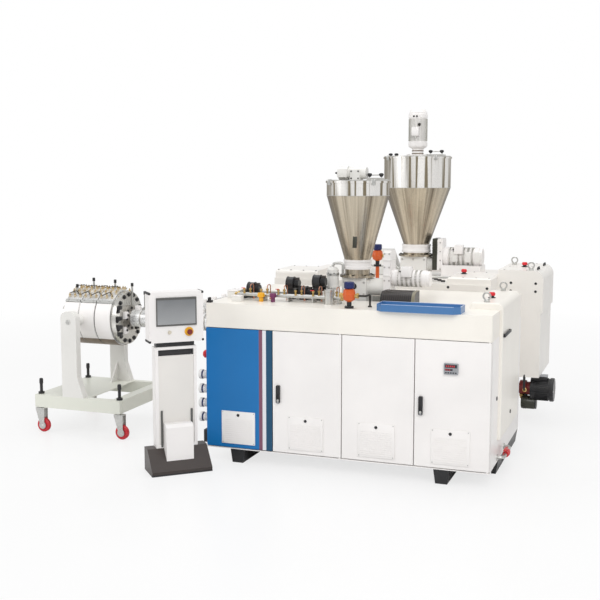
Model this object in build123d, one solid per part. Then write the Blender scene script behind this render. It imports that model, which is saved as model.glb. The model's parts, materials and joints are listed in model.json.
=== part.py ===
from build123d import *

import os
from math import cos, pi, sin

# Plastic pipe extruder station: a front and a back twin-screw extruder, the pipe die head on its
# wheeled trolley and the operator's console. Millimetres, +Z up, X towards the drive ends, Y from the
# front extruder's door side to the back. Sizes are measured from the front extruder's lower right
# front corner on the floor, and the finished station is moved to its own base centre.

# Heights of the line, and the sheet metal
LINE_HEIGHT = 890.0
DECK_ABOVE_LINE = 240.0
FASCIA_HEIGHT = 170.0
SKID_HEIGHT = 100.0
FLAT_SHEET = 6.0
RUNNING_FIT = 0.05
SEAT_GAP = 0.3
OVERCUT = 1.0

# Front extruder cabinet
BAY_PITCH = 500.0
BAY_COUNT = 4
DOOR_BAYS = (1, 3)
FRONT_DEPTH = 1300.0
PANEL_GAP = 5.0
PANEL_SEAM = 6.0
PANEL_SKIN = 3.0
PANEL_RIM = 18.0
DOOR_DEPTH = 25.0
DOOR_CLEARANCE = 10.0
DOOR_ROUND = 3.0
DECK_ROUND = 12.0
PARTITION_WIDTH = 20.0
SIDE_WALL = 12.0
FLANGE_WIDTH = 45.0
WELL_WIDTH = 370.0
WELL_BELOW_LINE = 185.0
WELL_SHEET = 4.0
BARREL_SLOT = 250.0
SLOT_LINTEL = 40.0

# Door hinge pins, handles, grilles and meter
PIN_INSET = 12.0
PIN_DEPTH = 6.0
PIN_RADIUS = 5.0
DOOR_SWING = 110.0
HANDLE_WIDTH = 28.0
HANDLE_HEIGHT = 125.0
HANDLE_THICK = 14.0
HANDLE_INSET = 42.0
HANDLE_FROM_TOP = 379.0
HANDLE_ROUND = 8.0
THUMB_INSET = 7.0
THUMB_HEIGHT = 52.0
GRILLE_WIDTH = 238.0
GRILLE_HEIGHT = 185.0
GRILLE_ABOVE_SKID = 46.0
GRILLE_THICK = 5.0
GRILLE_INSET = 130.0
GRILLE_BORDER = 16.0
LOUVRE_COUNT = 9
LOUVRE_RISE = 4.0
LOUVRE_SHARE = 0.55
METER_WIDTH = 94.0
METER_HEIGHT = 74.0
METER_THICK = 12.0
METER_FROM_RIGHT = 255.0
METER_FROM_TOP = 148.0

# Skids under the two cabinets
FOOT_BEAM_WIDTH = 110.0
FOOT_TAPER = 15.0
LEFT_FOOT_INSET = 230.0
RIGHT_FOOT_INSET = 315.0
KEEL_WIDTH = 90.0
KEEL_CLEARANCE = 30.0
END_BEAM_WIDTH = 60.0
END_BEAM_SETBACK = 365.0
SKID_SETBACK = 15.0

# End guard, tool tray, coupling guard and end sockets of the front extruder
GUARD_REACH = 20.0
GUARD_OVERLAP = 200.0
GUARD_RISE = 45.0
GUARD_FRONT = 300.0
GUARD_WIDTH = 800.0
GUARD_ABOVE_SKID = 150.0
GUARD_ROUND = 42.0
GUARD_EDGE = 7.0
GUARD_SILL = 0.6
TRAY_LENGTH = 557.0
TRAY_FROM_END = 205.0
TRAY_OVERHANG = 32.0
TRAY_FROM_COUPLING = 107.0
TRAY_HEIGHT = 46.0
TRAY_WALL = 4.0
TRAY_BEVEL = 40.0
COUPLING_LENGTH = 240.0
COUPLING_DEPTH = 150.0
COUPLING_HEIGHT = 95.0
COUPLING_FROM_WELL = 60.0
COUPLING_ROUND = 70.0
SOCKET_COUNT = 4
SOCKET_RADIUS = 33.0
SOCKET_REACH = 100.0
SOCKET_PITCH = 103.0
SOCKET_ABOVE_SKID = 191.0
SOCKET_INSET = 92.0

# Barrels, screws' gearbox and heaters
BARREL_REACH = 120.0
BARREL_TIP_RADIUS = 78.0
BARREL_TAIL_RADIUS = 104.0
BARREL_FLANGE_RADIUS = 128.0
BARREL_FLANGE_THICK = 32.0
GEARBOX_FROM_END = 690.0
GEARBOX_LENGTH = 265.0
GEARBOX_WIDTH = 340.0
GEARBOX_BELOW_LINE = 150.0
HEATER_COUNT = 3
HEATER_LENGTH = 225.0
HEATER_GAP = 26.0
HEATER_THICK = 34.0
HEATER_FROM_TIP = 110.0

# Cooling blowers along the deck: distance from the deck's left end, and top above the deck
BLOWER_PLACES = ((185.0, 110.0), (490.0, 160.0), (588.0, 97.0), (690.0, 180.0))
BLOWER_RADIUS = 46.0
SCROLL_WIDTH = 56.0
BLOWER_MOTOR_RADIUS = 30.0
BLOWER_MOTOR_LENGTH = 36.0
BLOWER_FROM_WELL = 65.0
BLOWER_DUCT = 40.0
BLOWER_DROP = 70.0

# Hoppers: rim radius, height above the foot, straight band, cone's bottom above the foot and radius
FRONT_HOPPER_FROM_GEARBOX = 400.0
FRONT_HOPPER = (226.0, 690.0, 104.0, 108.0, 90.0)
FRONT_FOOT_ABOVE_DECK = 154.0
BACK_HOPPER_FROM_RIGHT = 760.0
BACK_HOPPER = (283.0, 840.0, 258.0, 106.0, 112.0)
BACK_FOOT_ABOVE_DECK = 165.0
HOPPER_WALL = 3.0
HOPPER_BEAD = 7.0
HOPPER_FLANGE = 38.0
HOPPER_FLANGE_THICK = 14.0
LID_THICK = 8.0
FILL_COVER_HEIGHT = 14.0

# Feeders under the hoppers and their gear motors. Each drive: tube beyond the throat, length of the
# gear case and its top above the hopper's foot, length and radius of the motor
FEED_TUBE_RADIUS = 62.0
FEED_TUBE_BELOW_FOOT = 68.0
FRONT_DRIVE = (125.0, 50.0, 199.0, 275.0, 55.0)
BACK_DRIVE = (46.0, 86.0, 152.0, 330.0, 73.0)
GEARCASE_WIDTH = 150.0
GEARCASE_BEVEL = 16.0
MOTOR_RIBS = 5
MOTOR_RIB_RISE = 6.0
PLINTH_HEIGHT = 97.0
PLINTH_WIDTH = 230.0

# Stirring gear motors on the lids
LYING_MOTOR_RADIUS = 48.0
LYING_MOTOR_LEFT = 140.0
LYING_MOTOR_RIGHT = 66.0
STANDING_MOTOR_HEIGHT = 392.0
STANDING_MOTOR = ((95.0, 0.0), (95.0, 14.0), (48.0, 14.0), (48.0, 60.0), (76.0, 78.0))
STANDING_COWL = ((76.0, 26.0), (60.0, 0.0))

# Vents: dome on the front barrel, tapered hood on the back extruder, orange valves on the deck edges
DOME_LEFT_OF_HOPPER = 155.0
DOME_OFFSET = 100.0
DOME_RADIUS = 42.0
DOME_FLANGE = (50.0, 14.0)
DOME_PORT_RADIUS = 30.0
DOME_PORT_RISE = 60.0
DOME_TOP = 230.0
HOOD_FROM_FEEDER = 34.0
HOOD_LENGTH = 290.0
HOOD_WIDTH = 260.0
HOOD_HEIGHT = 215.0
HOOD_TAPER = 0.55
VALVE = (
    (30.0, 0.0),
    (30.0, 12.0),
    (15.0, 12.0),
    (15.0, 42.0),
    (38.0, 56.0),
    (44.0, 90.0),
    (38.0, 124.0),
    (22.0, 132.0),
    (22.0, 175.0),
)
VALVE_INSET = 60.0
FRONT_VALVE_FROM_END = 968.0
BACK_VALVE_FROM_RIGHT = 928.0
BACK_VALVE_RISER = 120.0

# Lifting eyes
EYE_COLLAR = ((20.0, 0.0), (20.0, 8.0), (11.0, 14.0))
EYE_RADIUS = 24.0
EYE_BAR = 6.0
EYE_SIDES = 6
FRONT_EYES = ((0.41, 0.06), (0.41, 0.94))
BACK_EYES = ((0.16, 0.74), (0.74, 0.06))

# Back extruder
AISLE = 150.0
BACK_SETBACK = 255.0
BACK_INSET = 10.0
BACK_LENGTH = 1805.0
BACK_DEPTH = 1380.0
BACK_DECK_RISE = 35.0
BACK_COVER_LENGTH = 370.0
BACK_COVER_WIDTH = 420.0
BACK_COVER_HEIGHT = 70.0
BACK_COVER_ROUND = 30.0
DRIVE_COVER_LENGTH = 345.0
DRIVE_COVER_FROM_PLINTH = 45.0
DRIVE_COVER_HEIGHT = 55.0
DRIVE_COVER_ROUND = 12.0
SLOT_COUNT = 6
SLOT_SIZE = (60.0, 12.0, 6.0)
END_GUARD_LENGTH = 345.0
END_GUARD_RISE = 97.0
END_GUARD_ABOVE_SKID = 300.0
END_GUARD_FLARE = 15.0
END_GUARD_HOOD = 330.0
END_GUARD_ROUND = 80.0
END_GUARD_HALF = 360.0
BACK_FOOT_INSET = 300.0
PUMP_FROM_AXIS = 240.0
PUMP_BELOW_GUARD = 25.0
PUMP_TANK = (52.0, 120.0, 115.0)
PUMP_PIPE_RADIUS = 15.0
PUMP_MOTOR_RADIUS = 88.0
PUMP_MOTOR_LENGTH = 180.0
PUMP_HEAD_RADIUS = 43.0
PUMP_HEAD_LENGTH = 95.0
PUMP_OVERHANG = 110.0

# Die head
DIE_FROM_CABINET = 985.0
DIE_LENGTH = 465.0
DIE_RADIUS = 222.0
BAND_THICK = 22.0
BAND_COUNT = 3
BAND_JOINT = 8.0
DIE_FLANGE_RADIUS = 210.0
DIE_FLANGE_THICK = 42.0
NOZZLE_RADIUS = 75.0
NOZZLE_LENGTH = 100.0
NOZZLE_RING = (95.0, 28.0)
MELT_GAP = (56.0, 50.0, 40.0)
BOSS_RADIUS = 100.0
BOSS_THICK = 24.0

# Melt pipes from the two barrels to the die
ADAPTER_RADIUS = 62.0
CROSS_FROM_BARREL = 520.0
CROSS_RADIUS = 45.0
CROSS_BEND = 120.0
CROSS_FLANGE = 32.0
CROSS_FLANGE_THICK = 28.0
FEED_BLOCK = 170.0

# Trolley
TROLLEY_OVERHANG = (170.0, 125.0)
TROLLEY_WIDTH = 780.0
TROLLEY_TOP = 300.0
BEAM_HEIGHT = 100.0
BEAM_WIDTH = 55.0
TROLLEY_DECK = 5.0
YOKE_FROM_FLANGE = 313.0
YOKE_WIDTH = 136.0
YOKE_THICK = 60.0
YOKE_ABOVE_LINE = 80.0
YOKE_ROUND = 50.0
YOKE_FOOT = (53.0, 160.0)
YOKE_GUSSET = 110.0
TRUNNION_RADIUS = 42.0
GUSSET_THICK = 12.0
HATCH_CLEARANCE = 30.0
JACK_RADIUS = 12.0
JACK_HEIGHT = 120.0
JACK_POINT = 24.0
JACK_NUT = (24.0, 16.0)
JACK_INSET = 0.9
WHEEL_RADIUS = 55.0
WHEEL_WIDTH = 34.0
WHEEL_CHAMFER = 6.0
HUB_RADIUS = 26.0
HUB_RECESS = 5.0
CASTOR_TRAIL = 32.0
CASTOR_PLATE = 8.0
CASTOR_GAP = 6.0
CASTOR_STEM = 16.0
CASTOR_CHEEK = 4.0
CASTOR_CHEEK_END = 16.0
AXLE_RADIUS = 7.0
AXLE_END = 2.0
WHEEL_CLEARANCE = 5.0

# Console, turned about Z to face the operator
CONSOLE_FROM_RIGHT = 2005.0
CONSOLE_FRONT = 375.0
CONSOLE_TURN = 42.3
CONSOLE_BASE_WIDTH = 420.0
CONSOLE_BASE_DEPTH = 220.0
CONSOLE_BASE_THICK = 30.0
CONSOLE_BASE_RISE = 130.0
CONSOLE_SLOPE_DEPTH = 130.0
COLUMN_WIDTH = 290.0
COLUMN_DEPTH = 90.0
COLUMN_TOP = 856.0
COLUMN_RECESS = 8.0
COLUMN_RAIL = 21.0
ARCH_HEIGHT = 60.0
ARCH_SHARE = 0.7
APRON_WIDTH = 190.0
APRON_DEPTH = 55.0
APRON_TOP = 334.0
CONSOLE_BOX_WIDTH = 376.0
CONSOLE_BOX_DEPTH = 110.0
CONSOLE_BOX_BOTTOM = 892.0
CONSOLE_BOX_HEIGHT = 343.0
CONSOLE_BOX_FORWARD = 25.0
CONSOLE_BOX_ROUND = 14.0
NECK_WIDTH = 262.0
NECK_INSET = 12.0
SCREEN_WIDTH = 266.0
SCREEN_HEIGHT = 176.0
SCREEN_FROM_TOP = 44.0
SCREEN_PROUD = 6.0

deck_top = LINE_HEIGHT + DECK_ABOVE_LINE
door_top = deck_top - FASCIA_HEIGHT
front_left = -BAY_PITCH * BAY_COUNT
front_axis_y = FRONT_DEPTH / 2
panel_bottom = SKID_HEIGHT + FLAT_SHEET + PANEL_GAP
panel_top = door_top - PANEL_GAP
frame_front = DOOR_DEPTH + DOOR_CLEARANCE
well_front = front_axis_y - WELL_WIDTH / 2
well_back = front_axis_y + WELL_WIDTH / 2
well_floor = LINE_HEIGHT - WELL_BELOW_LINE
gearbox_face = -GEARBOX_FROM_END
barrel_tip = front_left - BARREL_REACH
front_hopper_x = gearbox_face - FRONT_HOPPER_FROM_GEARBOX
front_foot = deck_top + FRONT_FOOT_ABOVE_DECK
tray_right = -TRAY_FROM_END
tray_left = tray_right - TRAY_LENGTH
coupling_front = well_front - COUPLING_FROM_WELL - COUPLING_DEPTH
tray_back = coupling_front - TRAY_FROM_COUPLING
left_foot_x = front_left + LEFT_FOOT_INSET
right_foot_x = -RIGHT_FOOT_INSET

back_front = FRONT_DEPTH + AISLE
back_rear = back_front + BACK_DEPTH
back_axis_y = back_front + BACK_DEPTH / 2
back_right = -BACK_SETBACK
back_left = back_right - BACK_LENGTH
back_middle = (back_left + back_right) / 2
back_deck = deck_top + BACK_DECK_RISE
back_hopper_x = back_right - BACK_HOPPER_FROM_RIGHT
back_foot = back_deck + BACK_FOOT_ABOVE_DECK
end_guard_right = back_right + END_GUARD_LENGTH
end_guard_near = back_axis_y - END_GUARD_HALF
end_guard_far = back_axis_y + END_GUARD_HALF
end_guard_bottom = SKID_HEIGHT + END_GUARD_ABOVE_SKID

die_right = front_left - DIE_FROM_CABINET
die_left = die_right - DIE_LENGTH
die_shoulder = die_right - DIE_FLANGE_THICK
yoke_x = die_right - YOKE_FROM_FLANGE
cross_x = barrel_tip - CROSS_FROM_BARREL
trolley_left = die_left - TROLLEY_OVERHANG[0]
trolley_right = die_right + TROLLEY_OVERHANG[1]
trolley_front = front_axis_y - TROLLEY_WIDTH / 2
trolley_back = front_axis_y + TROLLEY_WIDTH / 2
beam_bottom = TROLLEY_TOP - BEAM_HEIGHT

model = {}


def block(x0, x1, y0, y1, z0, z1):
    """A box between two corners."""
    middle = ((x0 + x1) / 2, (y0 + y1) / 2, (z0 + z1) / 2)
    return Pos(*middle) * Box(abs(x1 - x0), abs(y1 - y0), abs(z1 - z0))


def rod(start, end, radius):
    """A round bar between two points."""
    way = Vector(*end) - Vector(*start)
    return extrude(Plane(origin=start, z_dir=way) * Circle(radius), way.length)


def bar_x(x0, x1, y, z, radius):
    """A round bar along X."""
    return rod((x0, y, z), (x1, y, z), radius)


def turned(profile, x, y, base=0.0):
    """A solid turned about a vertical axis from its (radius, height) outline."""
    outline = make_face(Polyline(*[(r, 0, z) for r, z in profile], close=True))
    return Pos(x, y, base) * revolve(outline, Axis.Z)


def capped(profile, top):
    """A (radius, height) outline closed to its axis below and above."""
    return [(0, profile[0][1]), *profile, (0, top)]


def turned_along_x(profile, y, z):
    """A solid turned about an axis along X from its (x, radius) outline."""
    outline = make_face(Polyline(*[(x, 0, r) for x, r in profile], close=True))
    return Pos(0, y, z) * revolve(outline, Axis.X)


def side_profile(corners, y0, y1):
    """A solid of one (x, z) outline between two depths."""
    outline = make_face(Polyline(*[(x, y0, z) for x, z in corners], close=True))
    return extrude(outline, y1 - y0, dir=(0, 1, 0))


def end_profile(corners, x0, x1):
    """A solid of one (y, z) outline between two lengths."""
    outline = make_face(Polyline(*[(x0, y, z) for y, z in corners], close=True))
    return extrude(outline, x1 - x0, dir=(1, 0, 0))


def bay(index):
    """The left and right edges of one cabinet bay's panel."""
    left = front_left + index * BAY_PITCH
    return left + PANEL_SEAM / 2, left + BAY_PITCH - PANEL_SEAM / 2


def keep(name, *solids):
    """Files the solids of one node."""
    model[name] = list(solids)


def pan(left, right, depth):
    """A folded sheet panel, open at the back, with rounded front edges."""
    shell = block(left, right, 0, depth, panel_bottom, panel_top)
    shell = fillet(shell.faces().sort_by(Axis.Y)[0].edges(), DOOR_ROUND)
    low, high = panel_bottom + PANEL_RIM, panel_top - PANEL_RIM
    return shell - block(left + PANEL_RIM, right - PANEL_RIM, PANEL_SKIN, depth + OVERCUT, low, high)


def grille(left):
    """A louvred air inlet plate in front of a panel, from its left edge."""
    bottom = SKID_HEIGHT + GRILLE_ABOVE_SKID
    plate = block(left, left + GRILLE_WIDTH, -GRILLE_THICK, 0, bottom, bottom + GRILLE_HEIGHT)
    pitch = (GRILLE_HEIGHT - 2 * GRILLE_BORDER) / LOUVRE_COUNT
    for index in range(LOUVRE_COUNT):
        low = bottom + GRILLE_BORDER + index * pitch
        slot = [
            (-GRILLE_THICK, low),
            (-GRILLE_THICK, low + pitch * LOUVRE_SHARE),
            (LOUVRE_RISE - GRILLE_THICK, low),
        ]
        plate -= end_profile(slot, left + GRILLE_BORDER, left + GRILLE_WIDTH - GRILLE_BORDER)
    return plate


def door(index):
    """A hinged door with its two hinge pins fused to the right edge."""
    left, right = bay(index)
    leaf = pan(left, right, DOOR_DEPTH) + grille(left + GRILLE_INSET)
    x = right - PIN_INSET
    ends = ((SKID_HEIGHT, panel_bottom + PANEL_RIM), (panel_top - PANEL_RIM, door_top + FLAT_SHEET))
    for low, high in ends:
        leaf += rod((x, PIN_DEPTH, low), (x, PIN_DEPTH, high), PIN_RADIUS)
    return leaf


def door_handle(index):
    """The black flush handle near a door's left edge, with its thumb recess."""
    left = bay(index)[0] + HANDLE_INSET - HANDLE_WIDTH / 2
    top = door_top - HANDLE_FROM_TOP
    body = block(left, left + HANDLE_WIDTH, -HANDLE_THICK, 0, top - HANDLE_HEIGHT, top)
    low = top - HANDLE_HEIGHT + 2 * THUMB_INSET
    return fillet(body.edges().filter_by(Axis.Y), HANDLE_ROUND) - block(
        left + THUMB_INSET,
        left + HANDLE_WIDTH - THUMB_INSET,
        -HANDLE_THICK - OVERCUT,
        -HANDLE_THICK + FLAT_SHEET,
        low,
        low + THUMB_HEIGHT,
    )


def deck_shell():
    """The deck box over the doors, open below inside its flanges and cut out over the barrel."""
    deck = block(front_left, 0, 0, FRONT_DEPTH, door_top, deck_top)
    deck = fillet(deck.edges().filter_by(Axis.Z), DECK_ROUND)
    sheet, flange = FLAT_SHEET, FLANGE_WIDTH
    low, high = door_top + sheet, deck_top - sheet
    deck -= block(front_left + sheet, -sheet, sheet, FRONT_DEPTH - sheet, low, high)
    left, back = front_left + flange, FRONT_DEPTH - flange
    deck -= block(left, -flange, flange, back, door_top - OVERCUT, low + OVERCUT)
    deck -= block(left, gearbox_face, well_front, well_back, high - OVERCUT, deck_top + OVERCUT)
    near, far = front_axis_y - BARREL_SLOT / 2, front_axis_y + BARREL_SLOT / 2
    return deck - block(
        front_left - OVERCUT, left + OVERCUT, near, far, door_top - OVERCUT, deck_top - SLOT_LINTEL
    )


def front_cabinet():
    """Floor pan, partitions, back wall, deck with its barrel well, and the four front panels."""
    floor = block(front_left, 0, 0, FRONT_DEPTH, SKID_HEIGHT, SKID_HEIGHT + FLAT_SHEET)
    deck = deck_shell()
    for index in DOOR_BAYS:
        x = bay(index)[1] - PIN_INSET
        low, high = SKID_HEIGHT - OVERCUT, door_top + FLAT_SHEET + OVERCUT
        hole = rod((x, PIN_DEPTH, low), (x, PIN_DEPTH, high), PIN_RADIUS + RUNNING_FIT)
        floor -= hole
        deck -= hole
    keep("front_floor_pan", floor)
    keep("front_deck", deck)

    left, top = front_left + FLANGE_WIDTH, deck_top - FLAT_SHEET
    trough = block(left, gearbox_face, well_front, well_back, well_floor, top)
    near, far = well_front + WELL_SHEET, well_back - WELL_SHEET
    low = well_floor + WELL_SHEET
    keep("barrel_well", trough - block(left - OVERCUT, gearbox_face + OVERCUT, near, far, low, top + OVERCUT))

    walls = []
    low = SKID_HEIGHT + FLAT_SHEET
    back = FRONT_DEPTH - SIDE_WALL
    notch_low, notch_high = well_floor - OVERCUT, door_top + OVERCUT
    for index in range(BAY_COUNT + 1):
        middle = front_left + index * BAY_PITCH
        left = max(middle - PARTITION_WIDTH / 2, front_left)
        right = min(middle + PARTITION_WIDTH / 2, 0)
        if index == 0:
            right = front_left + SIDE_WALL
        if index == BAY_COUNT:
            left = -SIDE_WALL
        wall = block(left, right, frame_front, back, low, door_top)
        if index < BAY_COUNT:
            near, far = well_front - OVERCUT, well_back + OVERCUT
            wall -= block(left - OVERCUT, right + OVERCUT, near, far, notch_low, notch_high)
        walls.append(wall)
    keep("front_partitions", *walls)
    keep("front_back_wall", block(front_left, 0, back, FRONT_DEPTH, low, door_top))


def front_panels():
    """The blue end panel, two doors, the fixed middle panel, handles and the power meter."""
    left, right = bay(0)
    keep("blue_panel", pan(front_left, right, frame_front))
    keep("blue_panel_grille", grille(left + GRILLE_INSET))
    keep("left_door", door(DOOR_BAYS[0]))
    left, right = bay(2)
    keep("middle_panel", pan(left, right, frame_front) + grille(left + GRILLE_INSET))
    keep("right_door", door(DOOR_BAYS[1]))
    keep("left_door_handle", door_handle(DOOR_BAYS[0]))
    keep("right_door_handle", door_handle(DOOR_BAYS[1]))
    left = bay(DOOR_BAYS[1])[1] - METER_FROM_RIGHT - METER_WIDTH / 2
    top = door_top - METER_FROM_TOP
    meter = block(left, left + METER_WIDTH, -METER_THICK, 0, top - METER_HEIGHT, top)
    keep("right_door_meter", fillet(meter.edges().filter_by(Axis.Y), FLAT_SHEET))


def skid(left, right, front, back, beams, keel_y):
    """Cross beams with tapered feet on a keel along X, all fused."""
    half = KEEL_WIDTH / 2
    frame = block(left, right, keel_y - half, keel_y + half, KEEL_CLEARANCE, SKID_HEIGHT)
    for x, width, setback in beams:
        half = width / 2
        outline = [
            (x - half, SKID_HEIGHT),
            (x + half, SKID_HEIGHT),
            (x + half - FOOT_TAPER, 0),
            (x - half + FOOT_TAPER, 0),
        ]
        frame += side_profile(outline, front + setback, back - SKID_SETBACK)
    return frame


def eye_bolt(x, y, z):
    """A lifting eye with its collar, standing on z."""
    collar = turned(capped(EYE_COLLAR, EYE_COLLAR[-1][1]), x, y, z)
    angles = [2 * pi * (index + 0.5) / EYE_SIDES for index in range(EYE_SIDES)]
    section = [(EYE_BAR * cos(angle), EYE_RADIUS + EYE_BAR * sin(angle)) for angle in angles]
    ring = Rot(0, 0, 90) * turned_along_x(section, 0, 0)
    return collar + Pos(x, y, z + EYE_COLLAR[-1][1] + EYE_RADIUS) * ring


def end_guard(corners, near, far, soft):
    """A sheet guard of one side outline, with its named corners rounded by the given radii."""
    guard = side_profile(corners, near, far)
    for (x, z), radius in soft:
        edges = guard.edges().filter_by(Axis.Y)
        corner = edges.sort_by(lambda edge: (edge.center() - Vector(x, (near + far) / 2, z)).length)[0]
        guard = fillet(corner, radius)
    return guard


def front_top():
    """End guard, tool tray, coupling guard, blowers and end sockets of the front extruder."""
    top, bottom = deck_top + GUARD_RISE, SKID_HEIGHT + GUARD_ABOVE_SKID
    far = GUARD_FRONT + GUARD_WIDTH
    corners = [
        (-GUARD_OVERLAP, deck_top),
        (-GUARD_OVERLAP, top),
        (GUARD_REACH, top),
        (GUARD_REACH, bottom),
        (0, bottom),
        (0, deck_top),
    ]
    soft = (
        ((GUARD_REACH, top), GUARD_ROUND),
        ((-GUARD_OVERLAP, top), GUARD_ROUND / 2),
        ((GUARD_REACH, bottom), GUARD_REACH * GUARD_SILL),
    )
    guard = end_guard(corners, GUARD_FRONT, far, soft)
    rims = guard.faces().filter_by(Plane.XZ).edges()
    outer = rims.filter_by(lambda edge: edge.center().X > OVERCUT or edge.center().Z > deck_top + OVERCUT)
    keep("front_end_cover", chamfer(outer, GUARD_EDGE))

    b = TRAY_BEVEL
    corners = [
        (tray_left + b, -TRAY_OVERHANG),
        (tray_right - b, -TRAY_OVERHANG),
        (tray_right, b - TRAY_OVERHANG),
        (tray_right, tray_back),
        (tray_left, tray_back),
        (tray_left, b - TRAY_OVERHANG),
    ]
    plan = make_face(Polyline(*[(x, y, deck_top) for x, y in corners], close=True))
    tray = extrude(plan, TRAY_HEIGHT, dir=(0, 0, 1))
    hollow = extrude(offset(plan, -TRAY_WALL, kind=Kind.INTERSECTION), TRAY_HEIGHT, dir=(0, 0, 1))
    keep("blue_tray", tray - Pos(0, 0, TRAY_WALL) * hollow)

    far = coupling_front + COUPLING_DEPTH
    left = gearbox_face - COUPLING_LENGTH / 2
    high = deck_top + COUPLING_HEIGHT
    guard = block(left, left + COUPLING_LENGTH, coupling_front, far, deck_top, high)
    edge = guard.edges().filter_by(Axis.X).sort_by(Axis.Z)[-2:].sort_by(Axis.Y)[0]
    keep("coupling_guard", fillet(edge, COUPLING_ROUND))

    keep("front_blowers", *[blower(front_left + away, rise) for away, rise in BLOWER_PLACES])

    sockets = []
    r, end = SOCKET_RADIUS, front_left - SOCKET_REACH
    for index in range(SOCKET_COUNT):
        z = SKID_HEIGHT + SOCKET_ABOVE_SKID + index * SOCKET_PITCH
        outline = [
            (front_left, 0),
            (front_left, r),
            (front_left - FLAT_SHEET, r),
            (front_left - FLAT_SHEET, r * 0.86),
            (end + r * 0.5, r * 0.86),
            (end + r * 0.12, r * 0.6),
            (end, r * 0.25),
            (end, 0),
        ]
        sockets.append(turned_along_x(outline, SOCKET_INSET, z))
    keep("end_sockets", *sockets)


def blower(x, rise):
    """A cooling blower on the deck: scroll housing, motor, foot and the duct down into the well."""
    y = well_front - BLOWER_FROM_WELL
    z = deck_top + rise - BLOWER_RADIUS
    left, right = x - SCROLL_WIDTH / 2, x + SCROLL_WIDTH / 2
    body = bar_x(left, right, y, z, BLOWER_RADIUS)
    body += block(left, right, y, well_front + BLOWER_DUCT / 2, z - BLOWER_RADIUS, z - BLOWER_RADIUS / 4)
    body += bar_x(right, right + BLOWER_MOTOR_LENGTH, y, z, BLOWER_MOTOR_RADIUS)
    body += block(left, right, y - BLOWER_DUCT / 2, y + BLOWER_DUCT / 2, deck_top, z)
    near = well_front + BLOWER_DUCT / 4
    top = z - BLOWER_RADIUS / 4
    return body + block(left, right, near, near + BLOWER_DUCT, deck_top - BLOWER_DROP, top)


def barrel(tip, tail, y):
    """A tapered barrel with its end flanges, turned about the line's axis."""
    thick = BARREL_FLANGE_THICK
    return turned_along_x(
        [
            (tip, 0),
            (tip, BARREL_FLANGE_RADIUS),
            (tip + thick, BARREL_FLANGE_RADIUS),
            (tip + thick, BARREL_TIP_RADIUS),
            (tail - thick, BARREL_TAIL_RADIUS),
            (tail - thick, BARREL_FLANGE_RADIUS + thick / 2),
            (tail, BARREL_FLANGE_RADIUS + thick / 2),
            (tail, 0),
        ],
        y,
        LINE_HEIGHT,
    )


def barrel_radius(x):
    """The front barrel's outer radius at x, between its two flanges."""
    start, end = barrel_tip + BARREL_FLANGE_THICK, gearbox_face - BARREL_FLANGE_THICK
    return BARREL_TIP_RADIUS + (BARREL_TAIL_RADIUS - BARREL_TIP_RADIUS) * (x - start) / (end - start)


def barrel_heaters():
    """Cast heater shells clamped round the front barrel."""
    shells = []
    for index in range(HEATER_COUNT):
        left = barrel_tip + HEATER_FROM_TIP + index * (HEATER_LENGTH + HEATER_GAP)
        right = left + HEATER_LENGTH
        outer = barrel_radius(right) + HEATER_THICK
        outline = [(left, barrel_radius(left)), (left, outer), (right, outer), (right, barrel_radius(right))]
        shells.append(turned_along_x(outline, front_axis_y, LINE_HEIGHT))
    return shells


def hopper(x, y, foot, sizes):
    """A conical sheet hopper: straight band with a rim bead, cone, outlet neck and foot flange."""
    rim, height, band, cone, neck = sizes
    wall, bead = HOPPER_WALL, HOPPER_BEAD
    outline = [
        (neck - wall, 0),
        (neck + HOPPER_FLANGE, 0),
        (neck + HOPPER_FLANGE, HOPPER_FLANGE_THICK),
        (neck, HOPPER_FLANGE_THICK),
        (neck, cone),
        (rim, height - band),
        (rim, height - 2 * bead),
        (rim + bead, height - 2 * bead),
        (rim + bead, height),
        (rim - wall, height),
        (rim - wall, height - band),
        (neck - wall, cone),
    ]
    return turned(outline, x, y, foot)


def hopper_lid(x, y, foot, sizes):
    """The flat lid with its fill cover."""
    rim, base = sizes[0], foot + sizes[1]
    disc = turned([(0, 0), (rim, 0), (rim, LID_THICK), (0, LID_THICK)], x, y, base)
    near, far = y - rim * 0.25, y + rim * 0.25
    return disc + block(x + rim * 0.35, x + rim * 0.8, near, far, base, base + LID_THICK + FILL_COVER_HEIGHT)


def stirrer_lying(x, y, base):
    """The front hopper's stirring gear motor, lying on the lid over its gear case."""
    r = LYING_MOTOR_RADIUS
    body = bar_x(x - LYING_MOTOR_LEFT, x + LYING_MOTOR_RIGHT, y, base + r, r - FLAT_SHEET)
    body += bar_x(x - LYING_MOTOR_LEFT, x - LYING_MOTOR_LEFT / 2, y, base + r, r)
    return body + block(x - r, x + r / 2, y - r, y + r, base, base + r * 1.5)


def stirrer_standing(x, y, base):
    """The back hopper's stirring gear motor, standing on the lid."""
    height = STANDING_MOTOR_HEIGHT
    outline = [*STANDING_MOTOR, *[(r, height - below) for r, below in STANDING_COWL]]
    return turned(capped(outline, height), x, y, base)


def feeder(x, y, foot, seat, neck, drive):
    """Feed throat block with a bolting flange and the metering screw's cross tube."""
    tube_z = foot - FEED_TUBE_BELOW_FOOT
    body = block(x - neck, x + neck, y - neck, y + neck, seat, foot)
    body += bar_x(x, x + neck + drive[0], y, tube_z, FEED_TUBE_RADIUS)
    flange = FEED_TUBE_RADIUS + FLAT_SHEET
    return body + bar_x(x + neck, x + neck + 2 * FLAT_SHEET, y, tube_z, flange)


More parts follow.
